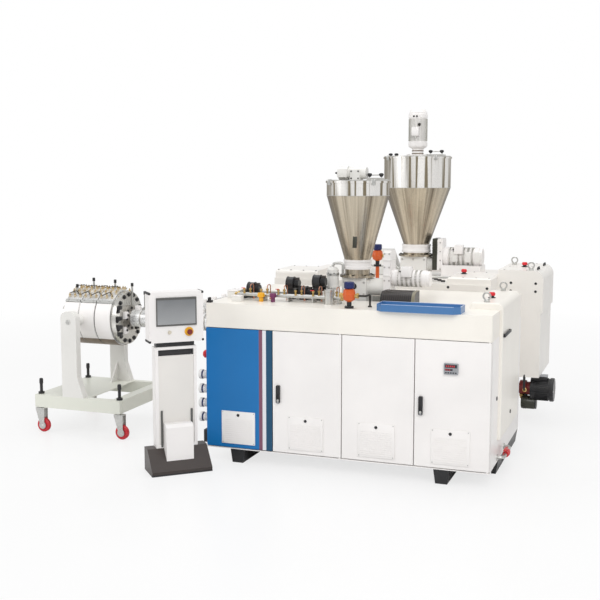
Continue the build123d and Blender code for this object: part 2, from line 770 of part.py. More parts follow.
def feed_motor(x, y, foot, neck, drive):
    """Tall gear case on the metering screw's tube, and the ribbed motor level with the hopper's foot."""
    tube, case_length, case_top, length, radius = drive
    left = x + neck + tube
    low = foot - FEED_TUBE_BELOW_FOOT - FEED_TUBE_RADIUS
    near, far = y - GEARCASE_WIDTH / 2, y + GEARCASE_WIDTH / 2
    case = block(left, left + case_length, near, far, low, foot + case_top)
    case = chamfer(case.edges().filter_by(Axis.X), GEARCASE_BEVEL)
    start, end = left + case_length, left + case_length + length
    outline = [(start, 0), (start, radius)]
    pitch = length * 0.6 / MOTOR_RIBS
    for index in range(MOTOR_RIBS):
        rib = start + length * 0.2 + index * pitch
        top = radius + MOTOR_RIB_RISE
        outline += [(rib, radius), (rib, top), (rib + pitch / 2, top), (rib + pitch / 2, radius)]
    outline += [(end, radius), (end, 0)]
    return case + turned_along_x(outline, y, foot)


def front_extruder():
    """Everything of the front extruder."""
    front_cabinet()
    front_panels()
    front_top()
    width = FOOT_BEAM_WIDTH
    beams = (
        (left_foot_x, width, SKID_SETBACK),
        (right_foot_x, width, SKID_SETBACK),
        (-END_BEAM_WIDTH / 2, END_BEAM_WIDTH, END_BEAM_SETBACK),
    )
    keep("front_skid", skid(left_foot_x, 0, 0, FRONT_DEPTH, beams, front_axis_y))
    keep("front_barrel", barrel(barrel_tip, gearbox_face, front_axis_y))
    keep("front_barrel_heaters", *barrel_heaters())
    x, y = front_hopper_x, front_axis_y
    near, far = y - GEARBOX_WIDTH / 2, y + GEARBOX_WIDTH / 2
    right, low = gearbox_face + GEARBOX_LENGTH, LINE_HEIGHT - GEARBOX_BELOW_LINE
    keep("front_gearbox", block(gearbox_face, right, near, far, low, deck_top - FLAT_SHEET))
    neck = FRONT_HOPPER[-1]
    seat = LINE_HEIGHT + barrel_radius(x + neck) + SEAT_GAP
    keep("front_feeder", feeder(x, y, front_foot, seat, neck, FRONT_DRIVE))
    keep("front_feeder_motor", feed_motor(x, y, front_foot, neck, FRONT_DRIVE))
    keep("front_hopper", hopper(x, y, front_foot, FRONT_HOPPER))
    keep("front_hopper_lid", hopper_lid(x, y, front_foot, FRONT_HOPPER))
    keep("front_stirrer_motor", stirrer_lying(x, y, front_foot + FRONT_HOPPER[1] + LID_THICK))


def back_guards():
    """Barrel cover, drive cover with its slots, and the end guard of the back extruder."""
    left, near = back_left + BACK_INSET, back_front + BACK_INSET
    top, far = back_deck + BACK_COVER_HEIGHT, near + BACK_COVER_WIDTH
    cover = block(left, left + BACK_COVER_LENGTH, near, far, back_deck, top)
    keep("back_barrel_cover", fillet(cover.edges().filter_by(Axis.X).sort_by(Axis.Z)[-2:], BACK_COVER_ROUND))

    left, top = back_right - DRIVE_COVER_LENGTH, back_deck + DRIVE_COVER_HEIGHT
    far = back_axis_y - PLINTH_WIDTH / 2 - DRIVE_COVER_FROM_PLINTH
    cover = block(left, back_right, near, far, back_deck, top)
    cover = chamfer(cover.faces().sort_by(Axis.Z)[-1].edges(), DRIVE_COVER_ROUND)
    length, width, deep = SLOT_SIZE
    pitch = (far - near - 2 * length) / SLOT_COUNT
    for x in (left + length / 2, back_right - length * 1.5):
        for index in range(SLOT_COUNT):
            y = near + length + index * pitch
            cover -= block(x, x + length, y, y + width, top - deep, top + OVERCUT)
    keep("back_drive_cover", cover)

    top, bottom = back_deck + END_GUARD_RISE, end_guard_bottom
    flare = end_guard_right + END_GUARD_FLARE
    hood = top - END_GUARD_HOOD
    corners = [
        (back_right, bottom),
        (back_right, top),
        (flare, top),
        (flare, hood),
        (end_guard_right, hood - END_GUARD_FLARE),
        (end_guard_right, bottom),
    ]
    soft = (((flare, top), END_GUARD_ROUND),)
    keep("back_end_cover", end_guard(corners, end_guard_near, end_guard_far, soft))


def back_extruder():
    """Everything of the back extruder."""
    x, y = back_hopper_x, back_axis_y
    left = back_left + BACK_FOOT_INSET
    width = FOOT_BEAM_WIDTH
    beams = (
        (left, width, SKID_SETBACK),
        (back_middle, width, SKID_SETBACK),
        (back_right - END_BEAM_WIDTH / 2, END_BEAM_WIDTH, SKID_SETBACK),
    )
    keep("back_skid", skid(left, back_right, back_front, back_rear, beams, y))
    cabinet = block(back_left, back_right, back_front, back_rear, SKID_HEIGHT, back_deck)
    keep("back_cabinet", fillet(cabinet.edges().filter_by(Axis.Z), DECK_ROUND))
    back_guards()
    neck = BACK_HOPPER[-1]
    keep("back_feeder", feeder(x, y, back_foot, back_deck, neck, BACK_DRIVE))
    motor = feed_motor(x, y, back_foot, neck, BACK_DRIVE)
    tube, case_length, _, length, _ = BACK_DRIVE
    start = x + neck + tube + case_length
    near, far = y - PLINTH_WIDTH / 2, y + PLINTH_WIDTH / 2
    motor += block(start, start + length, near, far, back_deck, back_deck + PLINTH_HEIGHT)
    keep("back_feeder_motor", motor)
    keep("back_hopper", hopper(x, y, back_foot, BACK_HOPPER))
    keep("back_hopper_lid", hopper_lid(x, y, back_foot, BACK_HOPPER))
    keep("back_stirrer_motor", stirrer_standing(x, y, back_foot + BACK_HOPPER[1] + LID_THICK))

    y, z = back_axis_y - PUMP_FROM_AXIS, end_guard_bottom - PUMP_BELOW_GUARD - PUMP_MOTOR_RADIUS
    right = end_guard_right + PUMP_OVERHANG
    start = right - PUMP_MOTOR_LENGTH
    tank_radius, tank_length, drop = PUMP_TANK
    pump = bar_x(start, right, y, z, PUMP_MOTOR_RADIUS)
    pump += bar_x(start - PUMP_HEAD_LENGTH, start, y, z, PUMP_HEAD_RADIUS)
    half, middle = PUMP_MOTOR_RADIUS / 2, start + PUMP_MOTOR_RADIUS / 2
    pump += block(start, end_guard_right, y - half, y + half, z, end_guard_bottom)
    pump += rod((start - half, y, z), (start - half, y, z - drop), PUMP_PIPE_RADIUS)
    pump += bar_x(middle - tank_length, middle, y, z - drop, tank_radius)
    keep("oil_pump", pump)


def vents_and_eyes():
    """Vent dome, vent hood, orange vent valves and lifting eyes of both extruders."""
    x, y = front_hopper_x - DOME_LEFT_OF_HOPPER, front_axis_y - DOME_OFFSET
    seat = LINE_HEIGHT + barrel_radius(x + DOME_RADIUS) + SEAT_GAP
    port = seat + DOME_PORT_RISE
    top, middle = deck_top + DOME_TOP, deck_top + DOME_TOP / 3
    wide, thick = DOME_FLANGE
    outline = [
        (DOME_RADIUS, port - DOME_RADIUS),
        (DOME_RADIUS, middle),
        (wide, middle),
        (wide, middle + thick),
        (DOME_RADIUS, middle + thick),
        (DOME_RADIUS, top - DOME_RADIUS / 2),
        (DOME_RADIUS * 0.7, top - DOME_RADIUS * 0.14),
        (DOME_RADIUS * 0.3, top),
    ]
    dome = turned(capped(outline, top), x, y)
    dome += rod((x, y, port), (x, front_axis_y, port), DOME_PORT_RADIUS)
    dome += rod((x, front_axis_y, seat), (x, front_axis_y, port + DOME_PORT_RADIUS), DOME_PORT_RADIUS)
    right = back_hopper_x - BACK_HOPPER[-1] - HOOD_FROM_FEEDER
    foot = Plane(origin=(right - HOOD_LENGTH / 2, back_axis_y, back_deck))
    head = foot.offset(HOOD_HEIGHT)
    sections = [
        foot * Rectangle(HOOD_LENGTH, HOOD_WIDTH),
        head * Rectangle(HOOD_LENGTH * HOOD_TAPER, HOOD_WIDTH * HOOD_TAPER),
    ]
    keep("vent_hoods", dome, loft(sections))

    outline = capped(VALVE, VALVE[-1][1])
    front = turned(outline, -FRONT_VALVE_FROM_END, VALVE_INSET, deck_top)
    x, y, base = back_right - BACK_VALVE_FROM_RIGHT, back_front + VALVE_INSET, back_deck + BACK_VALVE_RISER
    back = turned(outline, x, y, base) + rod((x, y, back_deck), (x, y, base), VALVE[2][0])
    keep("vent_valves", front, back)

    eyes, top = [], deck_top + GUARD_RISE
    for along, across in FRONT_EYES:
        x, y = GUARD_REACH - GUARD_OVERLAP * (1 - along), GUARD_FRONT + GUARD_WIDTH * across
        eyes.append(eye_bolt(x, y, top))
    width = end_guard_far - end_guard_near
    for along, across in BACK_EYES:
        x, y = back_right + END_GUARD_LENGTH * along, end_guard_near + width * across
        eyes.append(eye_bolt(x, y, back_deck + END_GUARD_RISE))
    keep("lifting_eyes", *eyes)


def die_head():
    """Die body with its lip ring and melt gap, heater bands, adapter and cross pipe."""
    y, inner = front_axis_y, DIE_RADIUS - BAND_THICK
    tip = die_left - NOZZLE_LENGTH
    ring, ring_thick = NOZZLE_RING
    outer_gap, mandrel, depth = MELT_GAP
    outline = [
        (tip, 0),
        (tip, mandrel),
        (tip + depth, mandrel),
        (tip + depth, outer_gap),
        (tip, outer_gap),
        (tip, ring),
        (tip + ring_thick, ring),
        (tip + ring_thick, NOZZLE_RADIUS),
        (die_left, NOZZLE_RADIUS),
        (die_left, inner),
        (die_shoulder, inner),
        (die_shoulder, DIE_FLANGE_RADIUS),
        (die_right, DIE_FLANGE_RADIUS),
        (die_right, 0),
    ]
    keep("die_body", turned_along_x(outline, y, LINE_HEIGHT))
    pitch = (die_shoulder - die_left) / BAND_COUNT
    bands = []
    for index in range(BAND_COUNT):
        left = die_left + index * pitch + BAND_JOINT / 2
        right = left + pitch - BAND_JOINT
        seat = inner + SEAT_GAP
        outline = [(left, seat), (left, DIE_RADIUS), (right, DIE_RADIUS), (right, seat)]
        bands.append(turned_along_x(outline, y, LINE_HEIGHT))
    keep("die_heater_bands", *bands)

    half = FEED_BLOCK / 2
    adapter = bar_x(die_right, barrel_tip, y, LINE_HEIGHT, ADAPTER_RADIUS)
    adapter += bar_x(die_right, die_right + BOSS_THICK, y, LINE_HEIGHT, BOSS_RADIUS)
    adapter += bar_x(barrel_tip - BOSS_THICK, barrel_tip, y, LINE_HEIGHT, BOSS_RADIUS)
    low, high = LINE_HEIGHT - half, LINE_HEIGHT + half
    keep("melt_adapter", adapter + block(cross_x - half, cross_x + half, y - half, y + half, low, high))
    corner, end = (cross_x, back_axis_y, LINE_HEIGHT), (cross_x, y + half, LINE_HEIGHT)
    route = FilletPolyline((back_left, back_axis_y, LINE_HEIGHT), corner, end, radius=CROSS_BEND)
    pipe = sweep(Plane(origin=route @ 0, z_dir=route % 0) * Circle(CROSS_RADIUS), route)
    wide, thick = CROSS_RADIUS + CROSS_FLANGE, CROSS_FLANGE_THICK
    pipe += bar_x(back_left - thick, back_left, back_axis_y, LINE_HEIGHT, wide)
    keep("cross_melt_pipe", pipe + rod(end, (cross_x, y + half + thick, LINE_HEIGHT), wide))


def yoke(side):
    """One column of the yoke that carries the die: foot, inner gusset and trunnion, on the given side."""
    reach, foot = YOKE_FOOT
    left, right = yoke_x - YOKE_WIDTH / 2, yoke_x + YOKE_WIDTH / 2
    outer = front_axis_y + side * TROLLEY_WIDTH / 2
    inner = outer - side * YOKE_THICK
    corners = [
        (left, TROLLEY_TOP),
        (left, LINE_HEIGHT + YOKE_ABOVE_LINE),
        (right, LINE_HEIGHT + YOKE_ABOVE_LINE),
        (right, TROLLEY_TOP + foot),
        (right + reach, TROLLEY_TOP),
    ]
    column = side_profile(corners, min(inner, outer), max(inner, outer))
    column = fillet(column.edges().filter_by(Axis.Y).sort_by(Axis.Z)[-2:], YOKE_ROUND)
    half, tip = GUSSET_THICK / 2, inner - side * YOKE_GUSSET
    corners = [(inner, TROLLEY_TOP), (tip, TROLLEY_TOP), (inner, TROLLEY_TOP + foot)]
    column += end_profile(corners, yoke_x - half, yoke_x + half)
    column += rod((yoke_x, inner, LINE_HEIGHT), (yoke_x, front_axis_y, LINE_HEIGHT), TRUNNION_RADIUS)
    return column - bar_x(die_left, die_right, front_axis_y, LINE_HEIGHT, DIE_RADIUS + SEAT_GAP)


def trolley():
    """Trolley frame with its two deck plates, die posts, jack screws and four castors."""
    width, y = BEAM_WIDTH, front_axis_y
    left, right = trolley_left + width, trolley_right - width
    near, far = trolley_front + width, trolley_back - width
    frame = block(trolley_left, trolley_right, trolley_front, trolley_back, beam_bottom, TROLLEY_TOP)
    frame -= block(left, right, near, far, beam_bottom - OVERCUT, TROLLEY_TOP - TROLLEY_DECK)
    edge = yoke_x + YOKE_WIDTH / 2 + YOKE_FOOT[0] + HATCH_CLEARANCE
    low, high = TROLLEY_TOP - 2 * TROLLEY_DECK, TROLLEY_TOP + OVERCUT
    frame -= block(edge, right - HATCH_CLEARANCE, near, far, low, high)
    keep("trolley_frame", frame)
    keep("die_posts", yoke(-1), yoke(1))

    nut, nut_height = JACK_NUT
    outline = [
        (nut, 0),
        (nut, nut_height),
        (JACK_RADIUS, nut_height),
        (JACK_RADIUS, JACK_HEIGHT - JACK_POINT),
        (JACK_RADIUS / 3, JACK_HEIGHT),
    ]
    jacks, number = [], 0
    for x in (trolley_left + width / 2, trolley_right - width / 2):
        for side in (-1, 1):
            reach = TROLLEY_WIDTH / 2 - width * JACK_INSET
            jacks.append(turned(capped(outline, JACK_HEIGHT), x, y + side * reach, TROLLEY_TOP))
            number += 1
            fork, wheel = castor(x, y + side * (TROLLEY_WIDTH - width) / 2)
            keep(f"castor_fork_{number}", fork)
            keep(f"castor_wheel_{number}", wheel)
    keep("jack_screws", *jacks)


def castor(x, y):
    """A swivel castor under the trolley's beam: fork with its stem, and the wheel behind the stem."""
    top = beam_bottom - CASTOR_GAP
    plate = top - CASTOR_PLATE
    half, wide = WHEEL_WIDTH / 2 + WHEEL_CLEARANCE, WHEEL_WIDTH / 2 + WHEEL_CLEARANCE + CASTOR_CHEEK
    axle_x, axle_z = x + CASTOR_TRAIL, WHEEL_RADIUS
    near, far = x - WHEEL_RADIUS / 2, axle_x + WHEEL_RADIUS / 3
    fork = rod((x, y, plate), (x, y, beam_bottom), CASTOR_STEM)
    fork += block(near, far, y - wide, y + wide, plate, top)
    end = CASTOR_CHEEK_END
    cheek = [(near, plate), (far, plate), (axle_x + end, axle_z - end), (axle_x - end, axle_z - end)]
    fork += side_profile(cheek, y - wide, y - half) + side_profile(cheek, y + half, y + wide)
    reach = wide + RUNNING_FIT
    fork -= rod((axle_x, y - reach, axle_z), (axle_x, y + reach, axle_z), AXLE_RADIUS + RUNNING_FIT)
    r, flat, hub, dish = WHEEL_RADIUS, WHEEL_WIDTH / 2, HUB_RADIUS, HUB_RECESS
    soft = WHEEL_CHAMFER
    end = wide + AXLE_END
    outline = [
        (0, -end),
        (AXLE_RADIUS, -end),
        (AXLE_RADIUS, dish - flat),
        (hub, dish - flat),
        (hub, -flat),
        (r - soft, -flat),
        (r, soft - flat),
        (r, flat - soft),
        (r - soft, flat),
        (hub, flat),
        (hub, flat - dish),
        (AXLE_RADIUS, flat - dish),
        (AXLE_RADIUS, end),
        (0, end),
    ]
    wheel = Pos(axle_x, y, axle_z) * Rot(90, 0, 0) * turned(outline, 0, 0)
    return fork, wheel


def console():
    """Console on its sloped base, built facing -Y about its own front centre and then turned."""
    place = Pos(-CONSOLE_FROM_RIGHT, -CONSOLE_FRONT, 0) * Rot(0, 0, CONSOLE_TURN)
    half, thick, slope = CONSOLE_BASE_WIDTH / 2, CONSOLE_BASE_THICK, CONSOLE_SLOPE_DEPTH
    top = thick + CONSOLE_BASE_RISE
    side = [(0, 0), (0, thick), (slope, top), (CONSOLE_BASE_DEPTH, top), (CONSOLE_BASE_DEPTH, 0)]
    base = end_profile(side, -half, half)

    half, back = COLUMN_WIDTH / 2, slope + COLUMN_DEPTH
    column = block(-half, half, slope, back, top, COLUMN_TOP)
    inner, arch = half - COLUMN_RAIL, COLUMN_TOP - ARCH_HEIGHT
    near = slope - OVERCUT
    column -= block(-inner, inner, near, slope + COLUMN_RECESS, top + COLUMN_RAIL, arch)
    rise = ARCH_HEIGHT * ARCH_SHARE
    column -= block(-inner, inner, near, slope + 3 * COLUMN_RECESS, arch, arch + rise)
    apron_z = thick + CONSOLE_BASE_RISE * APRON_DEPTH / slope
    side = [
        (APRON_DEPTH, apron_z),
        (APRON_DEPTH, APRON_TOP - COLUMN_RAIL),
        (APRON_DEPTH + COLUMN_RAIL, APRON_TOP),
        (slope + COLUMN_RECESS, APRON_TOP),
        (slope + COLUMN_RECESS, top + COLUMN_RAIL),
        (slope, top + COLUMN_RAIL),
        (slope, top),
    ]
    column += end_profile(side, -APRON_WIDTH / 2, APRON_WIDTH / 2)
    near, far = slope + NECK_INSET, back - NECK_INSET
    column += block(-NECK_WIDTH / 2, NECK_WIDTH / 2, near, far, COLUMN_TOP, CONSOLE_BOX_BOTTOM)

    front, half = slope - CONSOLE_BOX_FORWARD, CONSOLE_BOX_WIDTH / 2
    box_top = CONSOLE_BOX_BOTTOM + CONSOLE_BOX_HEIGHT
    case = block(-half, half, front, front + CONSOLE_BOX_DEPTH, CONSOLE_BOX_BOTTOM, box_top)
    case = fillet(case.edges().filter_by(Axis.Y), CONSOLE_BOX_ROUND)
    half, high = SCREEN_WIDTH / 2, box_top - SCREEN_FROM_TOP
    screen = block(-half, half, front - SCREEN_PROUD, front, high - SCREEN_HEIGHT, high)
    keep("console_base", place * base)
    keep("console_column", place * column)
    keep("console_box", place * case)
    keep("console_screen", place * screen)


front_extruder()
back_extruder()
vents_and_eyes()
die_head()
trolley()
console()

whole = Compound([solid for solids in model.values() for piece in solids for solid in piece.solids()])
box = whole.bounding_box()
base_centre = Vector((box.min.X + box.max.X) / 2, (box.min.Y + box.max.Y) / 2, box.min.Z)

os.makedirs("parts", exist_ok=True)
for name, solids in model.items():
    pieces = [solid for piece in solids for solid in piece.solids()]
    node = pieces[0] if len(pieces) == 1 else Compound(pieces)
    export_step(Location(-base_centre) * node, f"parts/{name}.step")
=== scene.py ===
"""Looks of the plastic pipe extruder station: finishes, fittings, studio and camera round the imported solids.

Lengths in the tables are millimetres. The functions at() and off() turn them into Blender's metres.
"""

from __future__ import annotations

import json
import logging
import math
from dataclasses import dataclass
from enum import Enum
from typing import Sequence

import bmesh
import bpy
from mathutils import Matrix, Vector

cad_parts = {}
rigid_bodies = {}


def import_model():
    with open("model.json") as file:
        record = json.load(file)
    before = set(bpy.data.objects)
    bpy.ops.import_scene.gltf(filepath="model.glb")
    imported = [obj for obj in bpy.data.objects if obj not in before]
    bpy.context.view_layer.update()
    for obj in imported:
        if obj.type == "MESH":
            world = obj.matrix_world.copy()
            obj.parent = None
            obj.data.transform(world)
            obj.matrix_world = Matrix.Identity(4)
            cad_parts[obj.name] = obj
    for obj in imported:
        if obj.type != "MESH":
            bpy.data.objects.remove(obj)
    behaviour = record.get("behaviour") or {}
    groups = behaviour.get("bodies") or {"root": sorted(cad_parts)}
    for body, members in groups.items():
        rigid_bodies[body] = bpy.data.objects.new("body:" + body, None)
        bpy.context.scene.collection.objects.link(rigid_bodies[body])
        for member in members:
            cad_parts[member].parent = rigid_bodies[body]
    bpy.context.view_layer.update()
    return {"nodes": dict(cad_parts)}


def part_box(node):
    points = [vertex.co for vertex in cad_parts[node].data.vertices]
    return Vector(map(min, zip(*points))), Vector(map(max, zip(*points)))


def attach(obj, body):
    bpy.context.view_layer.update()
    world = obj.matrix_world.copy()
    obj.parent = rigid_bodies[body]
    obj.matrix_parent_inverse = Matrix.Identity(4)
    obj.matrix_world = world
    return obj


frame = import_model()
LOG = logging.getLogger("station")
STATION = "station"
MM = 0.001
ORIGIN = (0.0, 0.0, 0.0)
Point = Sequence[float]
Outline = Sequence[tuple[float, float]]
Colour = tuple[float, float, float]
Socket = bpy.types.NodeSocket
Given = Socket | Colour | Sequence[float] | float | str


class Facing(Enum):
    """The way that a fitting's +Z looks once it is in place, as turns about X and Y."""

    UP = (0.0, 0.0)
    DOWN = (math.pi, 0.0)
    LEFT = (0.0, -math.pi / 2)
    RIGHT = (0.0, math.pi / 2)
    FRONT = (math.pi / 2, 0.0)
    BACK = (-math.pi / 2, 0.0)

    def matrix(self, origin: Point = ORIGIN) -> Matrix:
        """Returns the turn, followed by a move to the origin."""
        x, y = self.value
        return Matrix.Translation(Vector(origin)) @ Matrix.Rotation(y, 4, "Y") @ Matrix.Rotation(x, 4, "X")


UP, DOWN, LEFT, RIGHT, FRONT, BACK = Facing


@dataclass(frozen=True)
class Extent:
    """The box of one CAD node at rest."""

    low: Vector
    high: Vector

    @classmethod
    def of(cls, node: str) -> "Extent":
        """Returns the box of the named node."""
        return cls(*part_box(node))

    @property
    def size(self) -> Vector:
        """Returns the box's three sides in metres."""
        return self.high - self.low

    @property
    def sides(self) -> Vector:
        """Returns the box's three sides in millimetres."""
        return self.size / MM

    def at(self, x: float, y: float, z: float) -> Vector:
        """Returns the point that lies at these shares of the three sides."""
        return Vector(low + part * side for low, part, side in zip(self.low, (x, y, z), self.size))


def off(point: Point, x: float, y: float, z: float) -> Vector:
    """Returns the point moved by millimetres."""
    return Vector(point) + Vector((x, y, z)) * MM


def at(x: float, y: float, z: float) -> Vector:
    """Returns the point at these millimetres from the front cabinet's lower right front corner."""
    deck = Extent.of("front_deck")
    return off((deck.high.x, deck.low.y, 0.0), x, y, z)


class Tree:
    """A node tree that is laid out by short calls."""

    prefix = "ShaderNode"

    def __init__(self, tree: bpy.types.NodeTree) -> None:
        """Empties the tree.

        Args:
            tree: The tree to lay out.
        """
        self.tree = tree
        tree.nodes.clear()

    def give(self, socket: Socket, value: Given) -> None:
        """Links an input to a socket, or sets its constant.

        Args:
            socket: The input.
            value: A socket, a number, a vector or a colour.
        """
        if isinstance(value, Socket):
            self.tree.links.new(value, socket)
        else:
            socket.default_value = (*value, 1.0) if socket.type == "RGBA" else value

    def node(self, kind: str, *given: Given, **named: Given) -> bpy.types.Node:
        """Adds a node.

        Args:
            kind: Blender's name of the node, whole or after the tree's prefix.
            given: What the node's first inputs take, in their order.
            named: Its properties in small letters, and its inputs by name with _ for a space.

        Returns:
            The new node.
        """
        node = self.tree.nodes.new(kind if "Node" in kind else self.prefix + kind)
        for name, value in named.items():
            if name[0].islower():
                setattr(node, name, value)
            else:
                self.give(node.inputs[name.replace("_", " ")], value)
        for socket, value in zip(node.inputs, given):
            self.give(socket, value)
        return node


class Sheet(Tree):
    """The node sheet of one procedural material."""

    def __init__(self, name: str) -> None:
        """Lays out the material's output, shader and coordinates.

        Args:
            name: The material's name.
        """
        self.material = bpy.data.materials.new(name)
        self.material.use_nodes = True
        super().__init__(self.material.node_tree)
        self.shader = self.node("BsdfPrincipled")
        self.output = self.node("OutputMaterial", self.shader.outputs["BSDF"])
        self.place = self.node("TexCoord").outputs["Object"]

    def surface(self, **named: Given) -> None:
        """Links or sets the shader's own inputs, by name with _ for a space."""
        for name, value in named.items():
            self.give(self.shader.inputs[name.replace("_", " ")], value)

    def moved(self, centre: Point = ORIGIN, stretch: Point = (1.0, 1.0, 1.0)) -> Socket:
        """Centres and stretches the object's coordinates.

        Args:
            centre: The point that becomes the pattern's origin.
            stretch: How often the pattern repeats along each axis.

        Returns:
            The coordinate socket.
        """
        away = [-part * times for part, times in zip(centre, stretch)]
        return self.node("Mapping", Vector=self.place, Location=away, Scale=stretch).outputs["Vector"]

    def noise(self, scale: float, detail: float, place: Socket | None = None) -> Socket:
        """Adds a noise pattern, on the object's own coordinates unless others are given."""
        vector = self.moved() if place is None else place
        return self.node("TexNoise", Scale=scale, Detail=detail, Vector=vector).outputs["Fac"]

    def span(self, value: Socket, low: float, high: float, start: float = 0.3, end: float = 0.7) -> Socket:
        """Maps a value from start and end to low and high, and returns the result."""
        return self.node("MapRange", value, start, end, low, high).outputs["Result"]

    def maths(self, operation: str, *values: Socket | float) -> Socket:
        """Adds one sum on values and returns the result."""
        return self.node("Math", *values, operation=operation).outputs["Value"]

    def mix(self, share: Socket, first: Colour | Socket, second: Colour | Socket) -> Socket:
        """Mixes two colours.

        Args:
            share: The share of the second colour.
            first: The colour at share 0.
            second: The colour at share 1.

        Returns:
            The mixed colour.
        """
        node = self.node("Mix", share, data_type="RGBA")
        _, _, _, _, _, _, *colours = node.inputs
        for socket, colour in zip(colours, (first, second)):
            self.give(socket, colour)
        return node.outputs[2]

    def tint(self, value: Socket, colour: Colour, dark: float, light: float) -> Socket:
        """Returns a colour that a pattern makes darker and lighter by these shares."""
        ends = [tuple(min(1.0, part * share) for part in colour) for share in (dark, light)]
        return self.mix(self.span(value, 0.0, 1.0), *ends)

    def axes(self, place: Socket) -> bpy.types.NodeOutputs:
        """Returns the three coordinates of a place."""
        return self.node("SeparateXYZ", place).outputs

    def bump(self, height: Socket, distance: float, strength: float) -> None:
        """Gives the shader a relief, over any that it has.

        Args:
            height: The pattern.
            distance: The relief's depth in metres.
            strength: How strongly it shows.
        """
        node = self.node("Bump", Distance=distance, Strength=strength, Height=height)
        normal = self.shader.inputs["Normal"]
        if normal.is_linked:
            self.give(node.inputs["Normal"], normal.links[0].from_socket)
        self.give(normal, node.outputs["Normal"])


@dataclass(frozen=True)
class Finish:
    """A surface finish: its material's name and slot, and how its sheet is laid out."""

    name: str
    slot: str

    def lay(self, sheet: Sheet) -> None:
        """Lays out the material's sheet.

        Args:
            sheet: The material\'s sheet.
        """

    def material(self) -> bpy.types.Material:
        """Makes the finish's material the first time.

        Returns:
            The material.
        """
        if self not in MATERIALS:
            sheet = Sheet(self.name)
            self.lay(sheet)
            MATERIALS[self] = sheet.material
        return MATERIALS[self]


MATERIALS: dict[Finish, bpy.types.Material] = {}


@dataclass(frozen=True)
class Enamel(Finish):
    """Sprayed and baked enamel on sheet metal, with orange peel and slightly uneven sheet.

    A stripe is an upright band of another colour, given by its two places along X.
    """

    colour: Colour
    roughness: float = 0.34
    mottle: float = 0.035
    coat: float = 0.2
    stripes: tuple[tuple[float, float, Colour], ...] = ()

    def lay(self, sheet: Sheet) -> None:
        """Lays out the enamel, its stripes and a little dust.

        Args:
            sheet: The material\'s sheet.
        """
        cloud, speck = sheet.noise(2.4, 4.0), sheet.noise(190.0, 2.0)
        body = sheet.tint(cloud, self.colour, 1 - self.mottle, 1 + self.mottle)
        for left, right, colour in self.stripes:
            along = sheet.axes(sheet.place)["X"]
            sides = sheet.maths("GREATER_THAN", along, left), sheet.maths("LESS_THAN", along, right)
            body = sheet.mix(sheet.maths("MULTIPLY", *sides), body, colour)
        sheet.surface(
            Base_Color=sheet.mix(sheet.span(speck, 0.0, 0.05, 0.62, 0.8), body, (0.25, 0.23, 0.20)),
            Roughness=sheet.span(speck, self.roughness - 0.05, self.roughness + 0.07),
            Coat_Weight=self.coat,
            Coat_Roughness=0.15,
            Specular_IOR_Level=0.4,
        )
        sheet.bump(speck, 0.00010, 0.35)
        sheet.bump(cloud, 0.0012, 0.25)


@dataclass(frozen=True)
class BrushedMetal(Finish):
    """Machined, rolled or brushed metal whose grain runs along one axis."""

    colour: Colour
    roughness: float = 0.3
    grain: Point = (260.0, 260.0, 6.0)
    contrast: float = 0.22

    def lay(self, sheet: Sheet) -> None:
        """Lays out the grain over slow changes of tone.

        Args:
            sheet: The material\'s sheet.
        """
        lines = sheet.noise(1.0, 3.0, sheet.moved(stretch=self.grain))
        cloud = sheet.noise(9.0, 4.0)
        tone = sheet.maths("ADD", sheet.maths("MULTIPLY", lines, 0.6), sheet.maths("MULTIPLY", cloud, 0.4))
        sheet.surface(
            Base_Color=sheet.tint(tone, self.colour, 1 - self.contrast, 1 + self.contrast),
            Roughness=sheet.span(tone, self.roughness + 0.1, self.roughness - 0.05),
            Metallic=1.0,
        )
        sheet.bump(lines, 0.00008, 0.4)


@dataclass(frozen=True)
class HopperSheet(Finish):
    """Satin stainless sheet rolled round an upright axis: a band of bright painted reflection streaks over a
    khaki cone with painted reflection streaks, both darkened by painted shade towards two sides.
    """

    centre: tuple[float, float]
    band_z: float
    # Dark and light ends of the painted reflection streaks on the cone and on the band; the dark ends also
    # take the painted shade.
    cone: tuple[Colour, Colour] = ((0.15, 0.12, 0.085), (0.60, 0.53, 0.42))
    band: tuple[Colour, Colour] = ((0.26, 0.22, 0.15), (0.97, 0.95, 0.92))
    # Turn round the axis at which the painted shade is darkest.
    shade_turn: float = math.radians(22)

    def lay(self, sheet: Sheet) -> None:
        """Lays out painted reflection streaks that run down the sheet, and painted shade that darkens it
        towards two sides.

        Args:
            sheet: The material\'s sheet.
        """
        around = sheet.axes(sheet.moved(centre=(*self.centre, 0.0)))
        angle = sheet.maths("ARCTAN2", around["Y"], around["X"])
        down = sheet.maths("MULTIPLY", around["Z"], 0.10)
        turned = sheet.node("CombineXYZ", angle, down).outputs["Vector"]
        # Painted reflections: streaks that run down the sheet, set by the angle round the axis.
        broad, fine = sheet.noise(3.2, 1.0, turned), sheet.noise(17.0, 2.0, turned)
        hair, reflection_streak = sheet.noise(190.0, 2.0, turned), sheet.noise(8.5, 1.0, turned)
        tone = sheet.maths("ADD", sheet.maths("MULTIPLY", broad, 0.68), sheet.maths("MULTIPLY", fine, 0.32))
        # Painted shade: the sheet darkens where the angle round the axis nears the set turn or its opposite.
        side = sheet.maths("ABSOLUTE", sheet.maths("COSINE", sheet.maths("SUBTRACT", angle, self.shade_turn)))
        edge = sheet.span(side, 1.0, 0.0, 0.80, 0.99)
        cone = sheet.mix(sheet.maths("MULTIPLY", sheet.span(tone, 0.0, 1.0, 0.32, 0.58), edge), *self.cone)
        band = sheet.mix(sheet.maths("MULTIPLY", sheet.span(reflection_streak, 0.0, 1.0, 0.37, 0.50), edge), *self.band)
        sheet.surface(
            Base_Color=sheet.mix(sheet.maths("GREATER_THAN", around["Z"], self.band_z), cone, band),
            Roughness=sheet.span(hair, 0.24, 0.36),
            Metallic=0.9,
        )
        sheet.bump(hair, 0.00006, 0.35)
        sheet.bump(broad, 0.004, 0.3)


